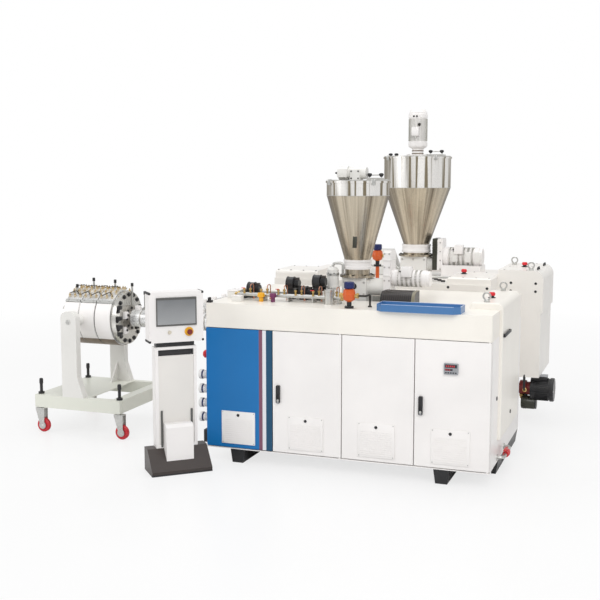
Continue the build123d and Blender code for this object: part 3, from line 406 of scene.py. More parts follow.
@dataclass(frozen=True)
class CastMetal(Finish):
    """Cast metal with a sandy skin and darker stains."""

    colour: Colour
    roughness: float
    metallic: float
    grain: float

    def lay(self, sheet: Sheet) -> None:
        """Lays out sand and stains.

        Args:
            sheet: The material\'s sheet.
        """
        sand, stain = sheet.noise(self.grain, 3.0), sheet.noise(14.0, 5.0)
        sheet.surface(
            Base_Color=sheet.tint(stain, self.colour, 0.72, 1.15),
            Roughness=sheet.span(sand, self.roughness - 0.08, self.roughness + 0.12),
            Metallic=self.metallic,
        )
        sheet.bump(sand, 0.00025, 0.5)


@dataclass(frozen=True)
class Moulded(Finish):
    """Moulded plastic or rubber with a fine pebble grain."""

    colour: Colour
    roughness: float = 0.45
    grain: float = 900.0

    def lay(self, sheet: Sheet) -> None:
        """Lays out the pebbles over slow changes of tone.

        Args:
            sheet: The material\'s sheet.
        """
        pebble = sheet.node("TexVoronoi", feature="SMOOTH_F1", Scale=self.grain, Vector=sheet.place)
        cloud = sheet.noise(22.0, 3.0)
        sheet.surface(
            Base_Color=sheet.tint(cloud, self.colour, 0.88, 1.12),
            Roughness=sheet.span(cloud, self.roughness - 0.05, self.roughness + 0.08),
        )
        sheet.bump(pebble.outputs["Distance"], 0.00012, 0.4)


@dataclass(frozen=True)
class ScreenFace(Finish):
    """A touch screen at rest under glass: grey, with a painted reflection that makes it paler towards its
    foot, and its fine pixel rows.
    """

    low: float
    high: float

    def lay(self, sheet: Sheet) -> None:
        """Lays out the grey, its rows and the glass.

        Args:
            sheet: The material\'s sheet.
        """
        height = sheet.axes(sheet.place)["Z"]
        # Painted reflection: the screen turns paler towards its foot.
        rise = sheet.span(height, 0.0, 1.0, self.low, self.high)
        rows = sheet.maths("SINE", sheet.maths("MULTIPLY", height, 5200.0))
        cloud = sheet.noise(6.0, 2.0)
        body = sheet.mix(rise, (0.33, 0.34, 0.35), (0.16, 0.17, 0.18))
        body = sheet.mix(sheet.span(rows, 0.0, 0.05, -1.0, 1.0), body, (0.10, 0.11, 0.12))
        sheet.surface(
            Base_Color=sheet.mix(sheet.span(cloud, 0.0, 0.12), body, (0.5, 0.5, 0.5)),
            Roughness=sheet.span(cloud, 0.10, 0.2),
            Coat_Weight=0.6,
            Coat_Roughness=0.05,
        )


class NodeShape(Tree):
    """A geometry node group built from named sizes, whose result is taken as a plain mesh."""

    prefix = "GeometryNode"

    def __init__(self, name: str, **sizes: str) -> None:
        """Starts the group.

        Args:
            name: The group's name.
            sizes: The socket kind of each named size.
        """
        super().__init__(bpy.data.node_groups.new(name, "GeometryNodeTree"))
        self.ids: dict[str, str] = {}
        sockets = self.tree.interface
        for way in ("INPUT", "OUTPUT"):
            sockets.new_socket(name="Geometry", in_out=way, socket_type="NodeSocketGeometry")
        for label, kind in {**sizes, "Material": "Material"}.items():
            socket = sockets.new_socket(name=label, in_out="INPUT", socket_type="NodeSocket" + kind)
            self.ids[label] = socket.identifier
        self.given = self.node("NodeGroupInput").outputs
        self.result = self.node("NodeGroupOutput").inputs

    def give(self, socket: Socket, value: Given) -> None:
        """Links or sets an input, where a string names one of the group's own inputs."""
        super().give(socket, self.given[value] if isinstance(value, str) else value)

    def out(self, kind: str, **named: Given) -> Socket:
        """Adds a node and returns its first output."""
        return self.node(kind, **named).outputs[0]

    def row(self, **named: Given) -> Socket:
        """Returns points at equal steps along a line."""
        return self.out("MeshLine", **named)

    def head(self) -> Socket:
        """Adds one screw head on its washer.

        Returns:
            Their geometry.
        """
        head, washer = (
            self.out("MeshCylinder", Vertices=sides, Radius="Head", Depth="Rise") for sides in ("Sides", 14)
        )
        both = self.node("JoinGeometry").inputs[0]
        for part in (head, self.out("Transform", Geometry=washer, Scale=(1.45, 1.45, 0.3))):
            self.give(both, part)
        return both.node.outputs[0]

    def end(self, **placed: Given) -> "NodeShape":
        """Ends the group with instances on points, made real and given their material.

        Args:
            placed: What the node that places the instances takes, by the names of its inputs.

        Returns:
            The group.
        """
        real = self.out("RealizeInstances", Geometry=self.out("InstanceOnPoints", **placed))
        self.give(self.result[0], self.out("SetMaterial", Geometry=real, Material="Material"))
        return self

    def bake(self, finish: Finish, base: bpy.types.Mesh | None = None, **sizes: Given) -> bpy.types.Mesh:
        """Evaluates the group.

        Args:
            finish: The finish of the result.
            base: A mesh that the group starts from, where it needs one.
            sizes: Values of the group's sizes.

        Returns:
            The result as a plain mesh.
        """
        holder = bpy.data.objects.new(self.tree.name, base or bpy.data.meshes.new(self.tree.name))
        bpy.context.scene.collection.objects.link(holder)
        modifier = holder.modifiers.new("shape", "NODES")
        modifier.node_group = self.tree
        for name, value in {**sizes, "Material": finish.material()}.items():
            modifier[self.ids[name]] = value
        holder.update_tag()
        graph = bpy.context.evaluated_depsgraph_get()
        mesh = bpy.data.meshes.new_from_object(holder.evaluated_get(graph))
        holder.modifiers.remove(modifier)
        bpy.data.objects.remove(holder)
        return mesh


def head_ring_shape() -> NodeShape:
    """Builds the group for a ring of screw heads on washers, standing on a disc that faces +Z.

    Returns:
        The group.
    """
    shape = NodeShape("head_ring", Count="Int", Radius="Float", Head="Float", Rise="Float", Sides="Int")
    circle = shape.out("MeshCircle", Vertices="Count", Radius="Radius")
    return shape.end(Points=circle, Instance=shape.head())


def head_grid_shape() -> NodeShape:
    """Builds the group for screw heads on washers in columns and rows.

    Returns:
        The group.
    """
    sizes = {"Columns": "Int", "Across": "Vector", "Rows": "Int", "Up": "Vector"}
    shape = NodeShape("head_grid", **sizes, Head="Float", Rise="Float", Sides="Int")
    columns, rows = shape.row(Count="Columns", Offset="Across"), shape.row(Count="Rows", Offset="Up")
    field = shape.out("InstanceOnPoints", Points=columns, Instance=rows)
    return shape.end(Points=shape.out("RealizeInstances", Geometry=field), Instance=shape.head())


def slat_row_shape() -> NodeShape:
    """Builds the group for equal small blocks in a row.

    Returns:
        The group.
    """
    shape = NodeShape("slat_row", Count="Int", Step="Vector", Block="Vector")
    block = shape.out("MeshCube", Size="Block")
    return shape.end(Points=shape.row(Count="Count", Offset="Step"), Instance=block)


def rib_row_shape() -> NodeShape:
    """Builds the group for equal round ribs one behind the other along +Z.

    Returns:
        The group.
    """
    shape = NodeShape("rib_row", Count="Int", Step="Vector", Radius="Float", Thick="Float", Sides="Int")
    rib = shape.out("MeshCylinder", Vertices="Sides", Radius="Radius", Depth="Thick")
    return shape.end(Points=shape.row(Count="Count", Offset="Step"), Instance=rib)


def fin_ring_shape() -> NodeShape:
    """Builds the group for equal fins that stand out round an axis along +Z.

    Returns:
        The group.
    """
    shape = NodeShape("fin_ring", Count="Int", Radius="Float", Fin="Vector")
    circle = shape.out("MeshCircle", Vertices="Count", Radius="Radius")
    turn = shape.out("FunctionNodeAlignRotationToVector", axis="X", Vector=shape.out("InputPosition"))
    return shape.end(Points=circle, Instance=shape.out("MeshCube", Size="Fin"), Rotation=turn)


def conduit_shape() -> NodeShape:
    """Builds the group for a round pipe with rounded bends along the edges of a mesh.

    Returns:
        The group.
    """
    shape = NodeShape("conduit", Radius="Float", Bend="Float", Sides="Int")
    route = shape.out("MeshToCurve", Mesh="Geometry")
    bent = shape.out("FilletCurve", mode="POLY", Curve=route, Radius="Bend", Count=6)
    ring = shape.out("CurvePrimitiveCircle", Resolution="Sides", Radius="Radius")
    pipe = shape.out("CurveToMesh", Curve=bent, Profile_Curve=ring, Fill_Caps=True)
    real = shape.out("RealizeInstances", Geometry=pipe)
    dressed = shape.out("SetMaterial", Geometry=real, Material="Material")
    shape.give(shape.result[0], dressed)
    return shape


HEAD_RING, HEAD_GRID, SLAT_ROW = head_ring_shape(), head_grid_shape(), slat_row_shape()
RIB_ROW, FIN_RING, CONDUIT = rib_row_shape(), fin_ring_shape(), conduit_shape()


class Piece:
    """One named piece: meshes gathered in place and hung on a body at the end. Its sizes are millimetres."""

    def __init__(self, name: str, finish: Finish, body: str = STATION, turn: Matrix | None = None) -> None:
        """Starts the piece.

        Args:
            name: The piece's name.
            finish: Its finish.
            body: The body that carries it.
            turn: A matrix that takes it from its own frame to the station's.
        """
        self.name, self.finish, self.body, self.turn = name, finish, body, turn
        self.mesh = bmesh.new()
        PIECES.append(self)

    def box(self, low: Point, high: Point, soft: float = 1.5, steps: int = 2) -> None:
        """Adds a box with rounded edges.

        Args:
            low: Its lower corner in metres.
            high: Its upper corner in metres.
            soft: Radius of its edges.
            steps: Faces across an edge.
        """
        size = Vector(high) - Vector(low)
        verts = bmesh.ops.create_cube(self.mesh, size=1.0)["verts"]
        matrix = Matrix.Translation((Vector(low) + Vector(high)) / 2) @ Matrix.Diagonal((*size, 1.0))
        bmesh.ops.transform(self.mesh, matrix=matrix, verts=verts)
        edges = list({edge for vert in verts for edge in vert.link_edges})
        reach = min(soft * MM, min(abs(side) for side in size) * 0.45)
        bmesh.ops.bevel(self.mesh, geom=edges, offset=reach, segments=steps, profile=0.5, affect="EDGES")

    def block(self, base: Point, low: Point, high: Point, soft: float = 1.5) -> None:
        """Adds a rounded box between two corners that are given from a base."""
        self.box(off(base, *low), off(base, *high), soft)

    def blocks(self, base: Point, soft: float, *corners: tuple[Point, Point]) -> None:
        """Adds rounded boxes between pairs of corners that are given from a base."""
        for low, high in corners:
            self.block(base, low, high, soft)

    def lathe(self, outline: Outline, origin: Point, facing: Facing = UP, steps: int = 40) -> None:
        """Adds a turned skin.

        Args:
            outline: Radius and height of each corner.
            origin: Where the axis starts.
            facing: The way that the heights run.
            steps: Faces round the axis.
        """
        matrix = facing.matrix(origin)
        rings: list[list[bmesh.types.BMVert]] = []
        for radius, height in outline:
            turns = [2 * math.pi * index / steps for index in range(steps if radius else 1)]
            flat = [(radius * math.cos(turn), radius * math.sin(turn)) for turn in turns]
            spots = [Vector((x, y, height)) * MM for x, y in flat]
            rings.append([self.mesh.verts.new(matrix @ spot) for spot in spots])
        for lower, upper in zip(rings, rings[1:]):
            for index in range(steps):
                pairs = ((lower, index), (lower, index + 1), (upper, index + 1), (upper, index))
                corners = list(dict.fromkeys(ring[place % len(ring)] for ring, place in pairs))
                if len(corners) > 2:
                    self.mesh.faces.new(corners)

    def solid(self, outline: Outline, origin: Point, facing: Facing = UP, steps: int = 40) -> None:
        """Adds a turned body that is closed to its axis at both ends."""
        first, last = ([(0, height)] if radius else [] for radius, height in (outline[0], outline[-1]))
        self.lathe((*first, *outline, *last), origin, facing, steps)

    def ring(self, outline: Outline, origin: Point, facing: Facing = UP, steps: int = 40) -> None:
        """Adds a turned ring, whose outline is closed."""
        self.lathe((*outline, outline[0]), origin, facing, steps)

    def boss(self, radius: float, height: float, origin: Point, facing: Facing = UP, steps: int = 40) -> None:
        """Adds a round boss that starts just inside its seat and has a softened rim."""
        soft = min(radius, height) * 0.25
        self.solid(((radius, -1), (radius, height - soft), (radius - soft, height)), origin, facing, steps)

    def prism(self, outline: Sequence[Point], run: float) -> None:
        """Adds a solid that runs along X.

        Args:
            outline: Corners of its flat outline in metres.
            run: Its length.
        """
        lower, upper = (
            [self.mesh.verts.new(off(point, along, 0, 0)) for point in outline] for along in (0, run)
        )
        self.mesh.faces.new(lower[::-1])
        self.mesh.faces.new(upper)
        for index, vert in enumerate(lower):
            after = (index + 1) % len(lower)
            self.mesh.faces.new([vert, lower[after], upper[after], upper[index]])

    def grow(
        self, shape: NodeShape, place: Matrix, base: bpy.types.Mesh | None = None, **sizes: Given
    ) -> None:
        """Adds a node group's result.

        Args:
            shape: The group.
            place: The matrix that moves the result into place.
            base: A mesh that the group starts from, where it needs one.
            sizes: The group's sizes: whole numbers are counts, others are millimetres.
        """
        scaled = {
            name: value if isinstance(value, int) else self.metres(value) for name, value in sizes.items()
        }
        mesh = shape.bake(self.finish, base, **scaled)
        mesh.transform(place)
        self.mesh.from_mesh(mesh)
        bpy.data.meshes.remove(mesh)

    @staticmethod
    def metres(value: float | Point) -> float | tuple[float, ...]:
        """Returns a length or a vector of millimetres in metres."""
        return value * MM if isinstance(value, float) else tuple(part * MM for part in value)

    def heads(
        self,
        centre: Point,
        facing: Facing,
        count: int,
        radius: float,
        head: float,
        rise: float,
        sides: int = 6,
    ) -> None:
        """Adds a ring of screw heads on a face that looks one way.

        Args:
            centre: The middle of the ring.
            facing: The way that the face looks.
            count: How many screws there are.
            radius: Radius of the ring.
            head: Radius of a head.
            rise: Its height.
            sides: Its faces.
        """
        sizes = {"Radius": float(radius), "Head": float(head), "Rise": rise * 2.0}
        self.grow(HEAD_RING, facing.matrix(centre), Count=count, Sides=sides, **sizes)

    def rows(
        self, start: Point, facing: Facing, across: tuple[int, float], up: tuple[int, float],
        head: float, rise: float, sides: int = 12,
    ) -> None:
        """Adds screw heads in columns and rows on a face that looks one way.

        Args:
            start: The first screw's place.
            facing: The way that the face looks.
            across: How many columns there are, and their pitch along the face's own X.
            up: How many rows there are, and their pitch along its Y.
            head: Radius of a head.
            rise: Its height.
            sides: Its faces.
        """
        columns = {"Columns": across[0], "Across": (across[1], 0, 0)}
        rows = {"Rows": up[0], "Up": (0, up[1], 0)}
        sizes = {"Head": float(head), "Rise": rise * 2.0, "Sides": sides}
        self.grow(HEAD_GRID, facing.matrix(start), **columns, **rows, **sizes)

    def slats(self, start: Point, count: int, step: Point, block: Point) -> None:
        """Adds equal blocks in a row."""
        self.grow(SLAT_ROW, Matrix.Translation(Vector(start)), Count=count, Step=step, Block=block)

    def ribs(
        self,
        start: Point,
        facing: Facing,
        count: int,
        pitch: float,
        radius: float,
        thick: float,
        sides: int = 28,
    ) -> None:
        """Adds round ribs one behind the other.

        Args:
            start: The middle of the first rib.
            facing: The way that the row runs.
            count: How many ribs there are.
            pitch: Distance from one to the next.
            radius: Radius of a rib.
            thick: Its thickness.
            sides: Its faces.
        """
        sizes = {"Step": (0, 0, pitch), "Radius": float(radius), "Thick": float(thick), "Sides": sides}
        self.grow(RIB_ROW, facing.matrix(start), Count=count, **sizes)

    def fins(self, centre: Point, facing: Facing, count: int, radius: float, fin: Point) -> None:
        """Adds fins of a depth, thickness and length round an axis, about the middle of their length."""
        self.grow(FIN_RING, facing.matrix(centre), Count=count, Radius=float(radius), Fin=fin)

    def pipe(
        self, base: Point, steps: Sequence[Point], radius: float, bend: float = 20, sides: int = 14
    ) -> None:
        """Adds a round pipe with rounded bends.

        Args:
            base: The point that its corners are given from.
            steps: Its corners.
            radius: Its radius.
            bend: Radius of its bends.
            sides: Faces round it.
        """
        route = bpy.data.meshes.new("route")
        edges = [(end - 1, end) for end in range(1, len(steps))]
        route.from_pydata([off(base, *step) for step in steps], edges, [])
        self.grow(CONDUIT, Matrix(), route, Radius=float(radius), Bend=float(bend), Sides=sides)

    def hang(self) -> None:
        """Makes the object, dresses it and hangs it on its body."""
        bmesh.ops.remove_doubles(self.mesh, verts=self.mesh.verts[:], dist=1e-6)
        bmesh.ops.recalc_face_normals(self.mesh, faces=self.mesh.faces[:])
        mesh = bpy.data.meshes.new(self.name)
        self.mesh.to_mesh(mesh)
        self.mesh.free()
        if self.turn is not None:
            mesh.transform(self.turn)
        mesh.materials.clear()
        mesh.materials.append(self.finish.material())
        mesh.polygons.foreach_set("material_index", [0] * len(mesh.polygons))
        mesh.polygons.foreach_set("use_smooth", [True] * len(mesh.polygons))
        mesh.set_sharp_from_angle(angle=math.radians(32))
        item = bpy.data.objects.new(self.name, mesh)
        bpy.context.scene.collection.objects.link(item)
        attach(item, self.body)
        LOG.info("%s: %d faces on %s", self.name, len(mesh.polygons), self.body)


PIECES: list[Piece] = []


def dress(finish: Finish, nodes: str) -> None:
    """Gives CAD nodes a finish.

    Args:
        finish: The finish.
        nodes: The nodes' names, with spaces between them.
    """
    for name in nodes.split():
        mesh = frame["nodes"][name].data
        mesh.materials.clear()
        mesh.materials.append(finish.material())


WHITE = Enamel("white_enamel", "white_enamel", (0.90, 0.875, 0.86))
CREAM = Enamel("cream_enamel", "cream_enamel", (0.90, 0.865, 0.80))
BACK_CREAM = Enamel("back_cream_enamel", "cream_enamel", (0.89, 0.86, 0.815))
GREY_WHITE = Enamel("grey_white_enamel", "white_enamel", (0.79, 0.78, 0.75))
TROLLEY_GREEN = Enamel("pale_green_enamel", "white_enamel", (0.76, 0.77, 0.69))
TRAY_BLUE = Enamel("tray_blue_enamel", "blue_enamel", (0.065, 0.185, 0.41), 0.36)
# Paler blue that paints the highlight on the tray's rim and liner ribs.
RIM_HIGHLIGHT_BLUE = Enamel("rim_highlight_blue_enamel", "blue_enamel", (0.42, 0.52, 0.70), 0.3)
# Grey that paints the shade between the cooling fins of the motors.
FIN_SHADE_GREY = Enamel("fin_shade_grey_enamel", "white_enamel", (0.46, 0.455, 0.415), 0.42)
BLACK = Enamel("black_enamel", "black_enamel", (0.018, 0.018, 0.02), 0.38)
BROWN_BLACK = Enamel("brown_black_enamel", "black_enamel", (0.045, 0.034, 0.030), 0.4)
ORANGE = Enamel("orange_enamel", "orange_enamel", (0.64, 0.105, 0.015), 0.3)
NAVY = Enamel("navy_enamel", "blue_enamel", (0.012, 0.022, 0.12), 0.3)
RED = Enamel("red_enamel", "orange_enamel", (0.62, 0.025, 0.03), 0.32)
OLIVE = Enamel("olive_enamel", "black_enamel", (0.22, 0.20, 0.14), 0.4)
OLIVE_BLACK = Enamel("olive_black_enamel", "black_enamel", (0.035, 0.036, 0.024), 0.36)
DARK_RED = Enamel("dark_red_enamel", "orange_enamel", (0.20, 0.018, 0.016), 0.36)
BEIGE_GREY = Enamel("beige_grey_enamel", "white_enamel", (0.80, 0.775, 0.74), 0.4)
DARK_GREY = Enamel("dark_grey_enamel", "black_enamel", (0.10, 0.10, 0.095), 0.4)
STEEL = BrushedMetal("barrel_steel", "barrel_steel", (0.42, 0.40, 0.37), 0.34, (6.0, 260.0, 260.0))
BRIGHT_STEEL = BrushedMetal("bright_steel", "zinc_steel", (0.66, 0.65, 0.62), 0.24)
ZINC = BrushedMetal("zinc_steel", "zinc_steel", (0.58, 0.58, 0.56), 0.32, (90.0, 90.0, 90.0), 0.16)
DARK_STEEL = BrushedMetal("oxide_steel", "barrel_steel", (0.07, 0.065, 0.06), 0.42, (120.0, 120.0, 120.0))
BRASS = BrushedMetal("brass", "zinc_steel", (0.60, 0.42, 0.16), 0.3, (80.0, 80.0, 80.0))
COPPER = BrushedMetal("copper", "zinc_steel", (0.62, 0.30, 0.20), 0.32, (80.0, 80.0, 80.0))
BAND_METAL = CastMetal("heater_band_metal", "cast_aluminium", (0.80, 0.80, 0.79), 0.26, 0.6, 240.0)
# Dark brown that paints shade: the die's shaded underside and the shaded rings at the standing stirrer's neck.
SHADE_BROWN_METAL = CastMetal("shade_brown_metal", "barrel_steel", (0.24, 0.19, 0.15), 0.4, 0.7, 240.0)
BLACK_PLASTIC = Moulded("black_plastic", "black_plastic", (0.018, 0.018, 0.02))
GREY_PLASTIC = Moulded("grey_plastic", "grey_plastic", (0.33, 0.34, 0.36))
DARK_GLASS = Moulded("meter_window", "black_plastic", (0.03, 0.035, 0.045), 0.15, 60.0)
WHITE_PLASTIC = Moulded("white_plastic", "white_enamel", (0.82, 0.81, 0.79), 0.38)
RED_TYRE = Moulded("red_polyurethane", "red_polyurethane", (0.60, 0.02, 0.03), 0.32)
RED_PLASTIC = Moulded("red_plastic", "red_polyurethane", (0.70, 0.02, 0.03), 0.3)
YELLOW_PLASTIC = Moulded("amber_plastic", "orange_enamel", (0.85, 0.42, 0.02), 0.35)
VIOLET_PLASTIC = Moulded("violet_plastic", "black_plastic", (0.16, 0.03, 0.10), 0.35)
BEIGE_PLASTIC = Moulded("beige_plastic", "grey_plastic", (0.62, 0.57, 0.47), 0.35)
TERMINAL_CREAM = Moulded("terminal_cream", "cast_aluminium", (0.62, 0.53, 0.38), 0.5)


@dataclass(frozen=True)
class FrontCabinet:
    """The front extruder's cabinet: panels, doors, deck and what is fixed to its two ends."""

    stripe_edges: tuple[float, float, float] = (0.096, 0.070, 0.043)
    plate_low: tuple[float, float] = (118, 139)
    plate_size: tuple[float, float] = (253, 233)
    louvres: int = 12
    cap_radius: float = 22
    guard_bend: float = 70

    def build(self) -> None:
        """Dresses the cabinet and adds its fittings."""
        self.paint()
        self.locks()
        self.meter()
        self.vent_plates()
        self.guard_fittings()
        self.water_valve()
        self.sockets()
        self.tray()
        self.strips("coupling_guard_ribs", BROWN_BLACK, [12 + 14.5 * step for step in range(14)], 6, 3)
        self.strips("coupling_guard_band", OLIVE, [Extent.of("coupling_guard").sides.x - 22], 22, 4)
        self.back_panels()

    def paint(self) -> None:
        """Gives the sheet metal its enamels, with the stripes along the blue panel's right edge."""
        edge = Extent.of("blue_panel").high.x
        red, white, teal = (edge - away for away in self.stripe_edges)
        stripes = (
            (red, white, (0.22, 0.085, 0.135)),
            (white, teal, (0.78, 0.80, 0.84)),
            (teal, edge + 0.01, (0.008, 0.075, 0.16)),
        )
        blue = Enamel("blue_enamel", "blue_enamel", (0.004, 0.165, 0.46), 0.42, 0.04, 0.05, stripes)
        dress(blue, "blue_panel")
        dress(WHITE, "left_door middle_panel right_door front_partitions front_back_wall front_floor_pan")
        dress(WHITE, "blue_panel_grille end_sockets")
        dress(CREAM, "front_deck front_end_cover front_gearbox")
        dress(BLACK, "front_skid coupling_guard front_blowers")
        dress(BLACK_PLASTIC, "left_door_handle right_door_handle")
        dress(GREY_PLASTIC, "right_door_meter")
        dress(TRAY_BLUE, "blue_tray")
        dress(ZINC, "barrel_well lifting_eyes")

    def locks(self) -> None:
        """Adds the cylinder locks and grip pads of the two door handles."""
        for door in ("left_door", "right_door"):
            grip = Extent.of(door + "_handle")
            spot = grip.at(0.5, 0, 0.16)
            lock = Piece(door + "_lock", ZINC, door)
            lock.solid(((8.5, -4), (8.5, 2), (6.5, 4)), spot, FRONT, 24)
            lock.block(spot, (-1, -5.2, -4), (1, -3, 4), 0.3)
            pad = Piece(door + "_grip_pad", GREY_PLASTIC, door)
            pad.box(grip.at(0.2, -0.06, 0.02), grip.at(0.8, 0.3, 0.10), 1.2)

    def meter(self) -> None:
        """Adds the two display windows, their figures and the keys of the door's meter."""
        meter = Extent.of("right_door_meter")
        wide = meter.sides.x
        glass = Piece("meter_windows", DARK_GLASS, "right_door")
        glass.box(meter.at(0.08, -0.12, 0.60), meter.at(0.92, 0.3, 0.90), 0.8)
        glass.box(meter.at(0.08, -0.12, 0.34), meter.at(0.62, 0.3, 0.52), 0.8)
        glass.slats(meter.at(0.16, -0.04, 0.17), 5, (wide * 0.17, 0, 0), (10, 3, 8))
        figures = Piece("meter_figures", RED_PLASTIC, "right_door")
        figures.slats(meter.at(0.20, -0.14, 0.75), 5, (wide * 0.13, 0, 0), (6, 1.2, 11))
        figures.slats(meter.at(0.16, -0.14, 0.43), 3, (wide * 0.13, 0, 0), (5, 1.2, 7))

    def vent_plates(self) -> None:
        """Adds the screwed vent plates with their louvres and turn locks over the four grilles."""
        deck = Extent.of("front_deck")
        (left, low), (wide, high) = self.plate_low, self.plate_size
        step = (high - 75) / (self.louvres - 1)
        for bay, body in enumerate((STATION, "left_door", STATION, "right_door")):
            base = off((deck.low.x + bay * deck.size.x / 4, deck.low.y, 0), left, 0, low)
            plate = Piece(f"vent_plate_{bay + 1}", WHITE, body)
            plate.block(base, (0, -6.8, 0), (wide, -0.3, high), 1.8)
            slat = (wide - 36, 4.4, step * 0.42)
            plate.slats(off(base, wide / 2, -7, 18), self.louvres, (0, 0, step), slat)
            lock = Piece(f"vent_plate_lock_{bay + 1}", BLACK_PLASTIC, body)
            lock.solid(((10.5, -1), (10.5, 2.5), (8, 4)), off(base, wide / 2, -6.6, high - 26), FRONT, 28)
            screws = Piece(f"vent_plate_screws_{bay + 1}", ZINC, body)
            screws.rows(off(base, 9, -6.8, 9), FRONT, (2, wide - 18), (2, high - 18), 3, 1)

    def guard_fittings(self) -> None:
        """Adds the pull handle, the wall locks and the filler caps at the machines' drive ends."""
        guard, hood, cover = map(Extent.of, ("front_end_cover", "back_end_cover", "back_drive_cover"))
        near, far, low = at(0, 315, 957), at(0, 590, 957), at(0, 720, 360)
        near.x = far.x = low.x = guard.high.x
        pull = Piece("end_guard_handle", BLACK_PLASTIC)
        pull.box(off(near, 4, 0, -11), off(far, 16, 0, 11), 5, 3)
        for spot in (off(near, 0, 20, 0), off(far, 0, -20, 0)):
            pull.solid(((12, -2), (12, 6)), spot, RIGHT, 20)
        dot = Piece("end_wall_locks", BLACK_PLASTIC)
        for spot in (at(0, 235, 551), low):
            dot.solid(((14, -2), (14, 3), (11, 5)), spot, RIGHT, 28)
        caps, necks = Piece("oil_filler_caps", RED_PLASTIC), Piece("oil_filler_necks", BLACK)
        wide = self.cap_radius
        for spot in (guard.at(0.43, 0.37, 1), hood.at(0.46, 0.47, 1), cover.at(0.21, 0.60, 1)):
            caps.solid(((20, 16), (wide, 19), (wide, 34), (17, 39)), spot, steps=24)
            necks.solid(((26, -2), (26, 4), (16, 6), (16, 17)), spot, steps=24)
            caps.ribs(off(spot, 0, 0, 22), UP, 2, 8, wide + 1, 3)

    def water_valve(self) -> None:
        """Adds the drain pipe and its red lever valve at the foot of the end wall."""
        wall = at(0, 0, 135)
        pipe = Piece("drain_pipe", ZINC)
        pipe.pipe(wall, ((-2.25, 300, 0), (45, 300, 0), (45, 600, 0), (-2.25, 600, 0)), 11, 30)
        for y in (300, 600):
            pipe.solid(((22, -1), (22, 5)), off(wall, 0, y, 0), RIGHT, 24)
        valve = Piece("drain_valve", RED)
        middle = off(wall, 45, 395, 0)
        body = ((21, 0), (21, 14), (17, 18), (24, 30), (24, 46), (17, 58), (21, 62), (21, 76))
        valve.solid(body, middle, BACK, 28)
        valve.block(middle, (-6, 32, 10), (6, 44, 36), 2)
        valve.block(middle, (-11, -52, 34), (11, 50, 42), 4)

    def sockets(self) -> None:
        """Adds the strip, the collars and the seals of the end sockets, the stop knob and two black boxes."""
        box, deck = Extent.of("end_sockets"), Extent.of("front_deck")
        wall = Vector((box.high.x, box.at(0.5, 0.5, 0.5).y, 0))
        radius, low, high = box.sides.y / 2, box.low.z / MM, box.high.z / MM
        strip = Piece("socket_strip", NAVY)
        strip.block(wall, (-6, -radius * 1.5, low - 30), (2, radius * 1.5, high + 30))
        collars, seals = Piece("socket_collars", WHITE_PLASTIC), Piece("socket_seals", NAVY)
        neck, rim, tip = radius * 0.8, radius + 2, radius * 0.9
        inner, outer, back, front = radius * 0.85, radius * 0.93, radius - 1, radius + 7
        for index in range(4):
            spot = off(wall, 0, 0, low + radius + index * (high - low - 2 * radius) / 3)
            collars.ring(((neck, 70), (rim, 70), (rim, 90), (tip, 94), (neck, 94)), spot, LEFT)
            collars.ribs(off(spot, -12, 0, 0), LEFT, 6, 8, tip, 4, 36)
            seals.ring(((inner, 60), (outer, 60), (outer, 71), (inner, 71)), spot, LEFT, 36)
            seals.ring(((back, 0), (front, 0), (front, 11), (back, 12)), spot, LEFT, 36)
        spot = off(wall, 0, 0, 749)
        outline = ((20, 30), (28, 38), (29, 50), (21, 60), (0, 63))
        Piece("end_stop_knob", RED_PLASTIC).solid(outline, spot, LEFT, 32)
        stem = Piece("end_stop_stem", BLACK_PLASTIC)
        stem.solid(((26, -2), (26, 10), (13, 12), (13, 32)), spot, LEFT, 28)
        stem.block(wall, (-55, -35, 112), (1, 35, 205), 6)
        stem.block(deck.at(0, 0, 1), (4, 4, -2), (36, 50, 14), 3)
        stem.block(deck.at(0, 0, 1), (10, 10, 12), (26, 44, 36), 5)

    def tray(self) -> None:
        """Adds the tray's rolled rim and its ribbed liner, in a paler blue that paints a highlight on them."""
        tray = Extent.of("blue_tray")
        wide, deep, high = tray.sides
        top, lip = high - 1, high + 2.5
        rim = Piece("tray_rim_highlight", RIM_HIGHLIGHT_BLUE)
        rim.blocks(
            tray.low,
            1,
            ((40, 0, top), (wide - 40, 5, lip)),
            ((0, deep - 5, top), (wide, deep, lip)),
            ((0, 40, top), (5, deep, lip)),
            ((wide - 5, 40, top), (wide, deep, lip)),
            ((5, 45, 3.8), (wide - 5, deep - 5, 7.5)),
        )
        rim.slats(off(tray.low, 50, deep / 2 + 15, 8), 12, (wide / 12.6, 0, 0), (6, deep * 0.55, 3))

    def strips(self, name: str, finish: Finish, places: Sequence[float], width: float, thick: float) -> None:
        """Adds strips bent over the coupling guard.

        Args:
            name: Name of the piece.
            finish: Its finish.
            places: Where each strip starts along X, from the guard's left end.
            width: Width of a strip.
            thick: How far a strip stands off the guard.
        """
        guard, bend = Extent.of("coupling_guard"), self.guard_bend
        _, deep, high = guard.sides
        turns = [math.radians(180 - 90 * step / 8) for step in range(9)]
        edges = []
        for out in (thick, -1):
            wide, rise = bend + out, high - bend
            curve = [(bend + wide * math.cos(turn), rise + wide * math.sin(turn)) for turn in turns]
            edges.append([(-out, 0), *curve, (deep, high + out)])
        outer, inner = edges
        piece = Piece(name, finish)
        for x in places:
            piece.prism([off(guard.low, x, y, z) for y, z in (*outer, *inner[::-1])], width)

    def back_panels(self) -> None:
        """Adds the lift-off panels with their turn locks to the unseen long side."""
        wall = Extent.of("front_back_wall")
        wide, _, high = wall.sides
        base, pitch = wall.at(0, 1, 0), wide / 4
        panels, locks = Piece("back_wall_panels", WHITE), Piece("back_wall_locks", BLACK_PLASTIC)
        for bay in range(4):
            left = bay * pitch + 12
            panels.block(base, (left, -1, 10), (left + pitch - 24, 4, high - 12), 2)
            locks.rows(off(base, left + 25, 4, high - 50), BACK, (2, pitch - 74), (2, high - 100), 9, 2, 20)


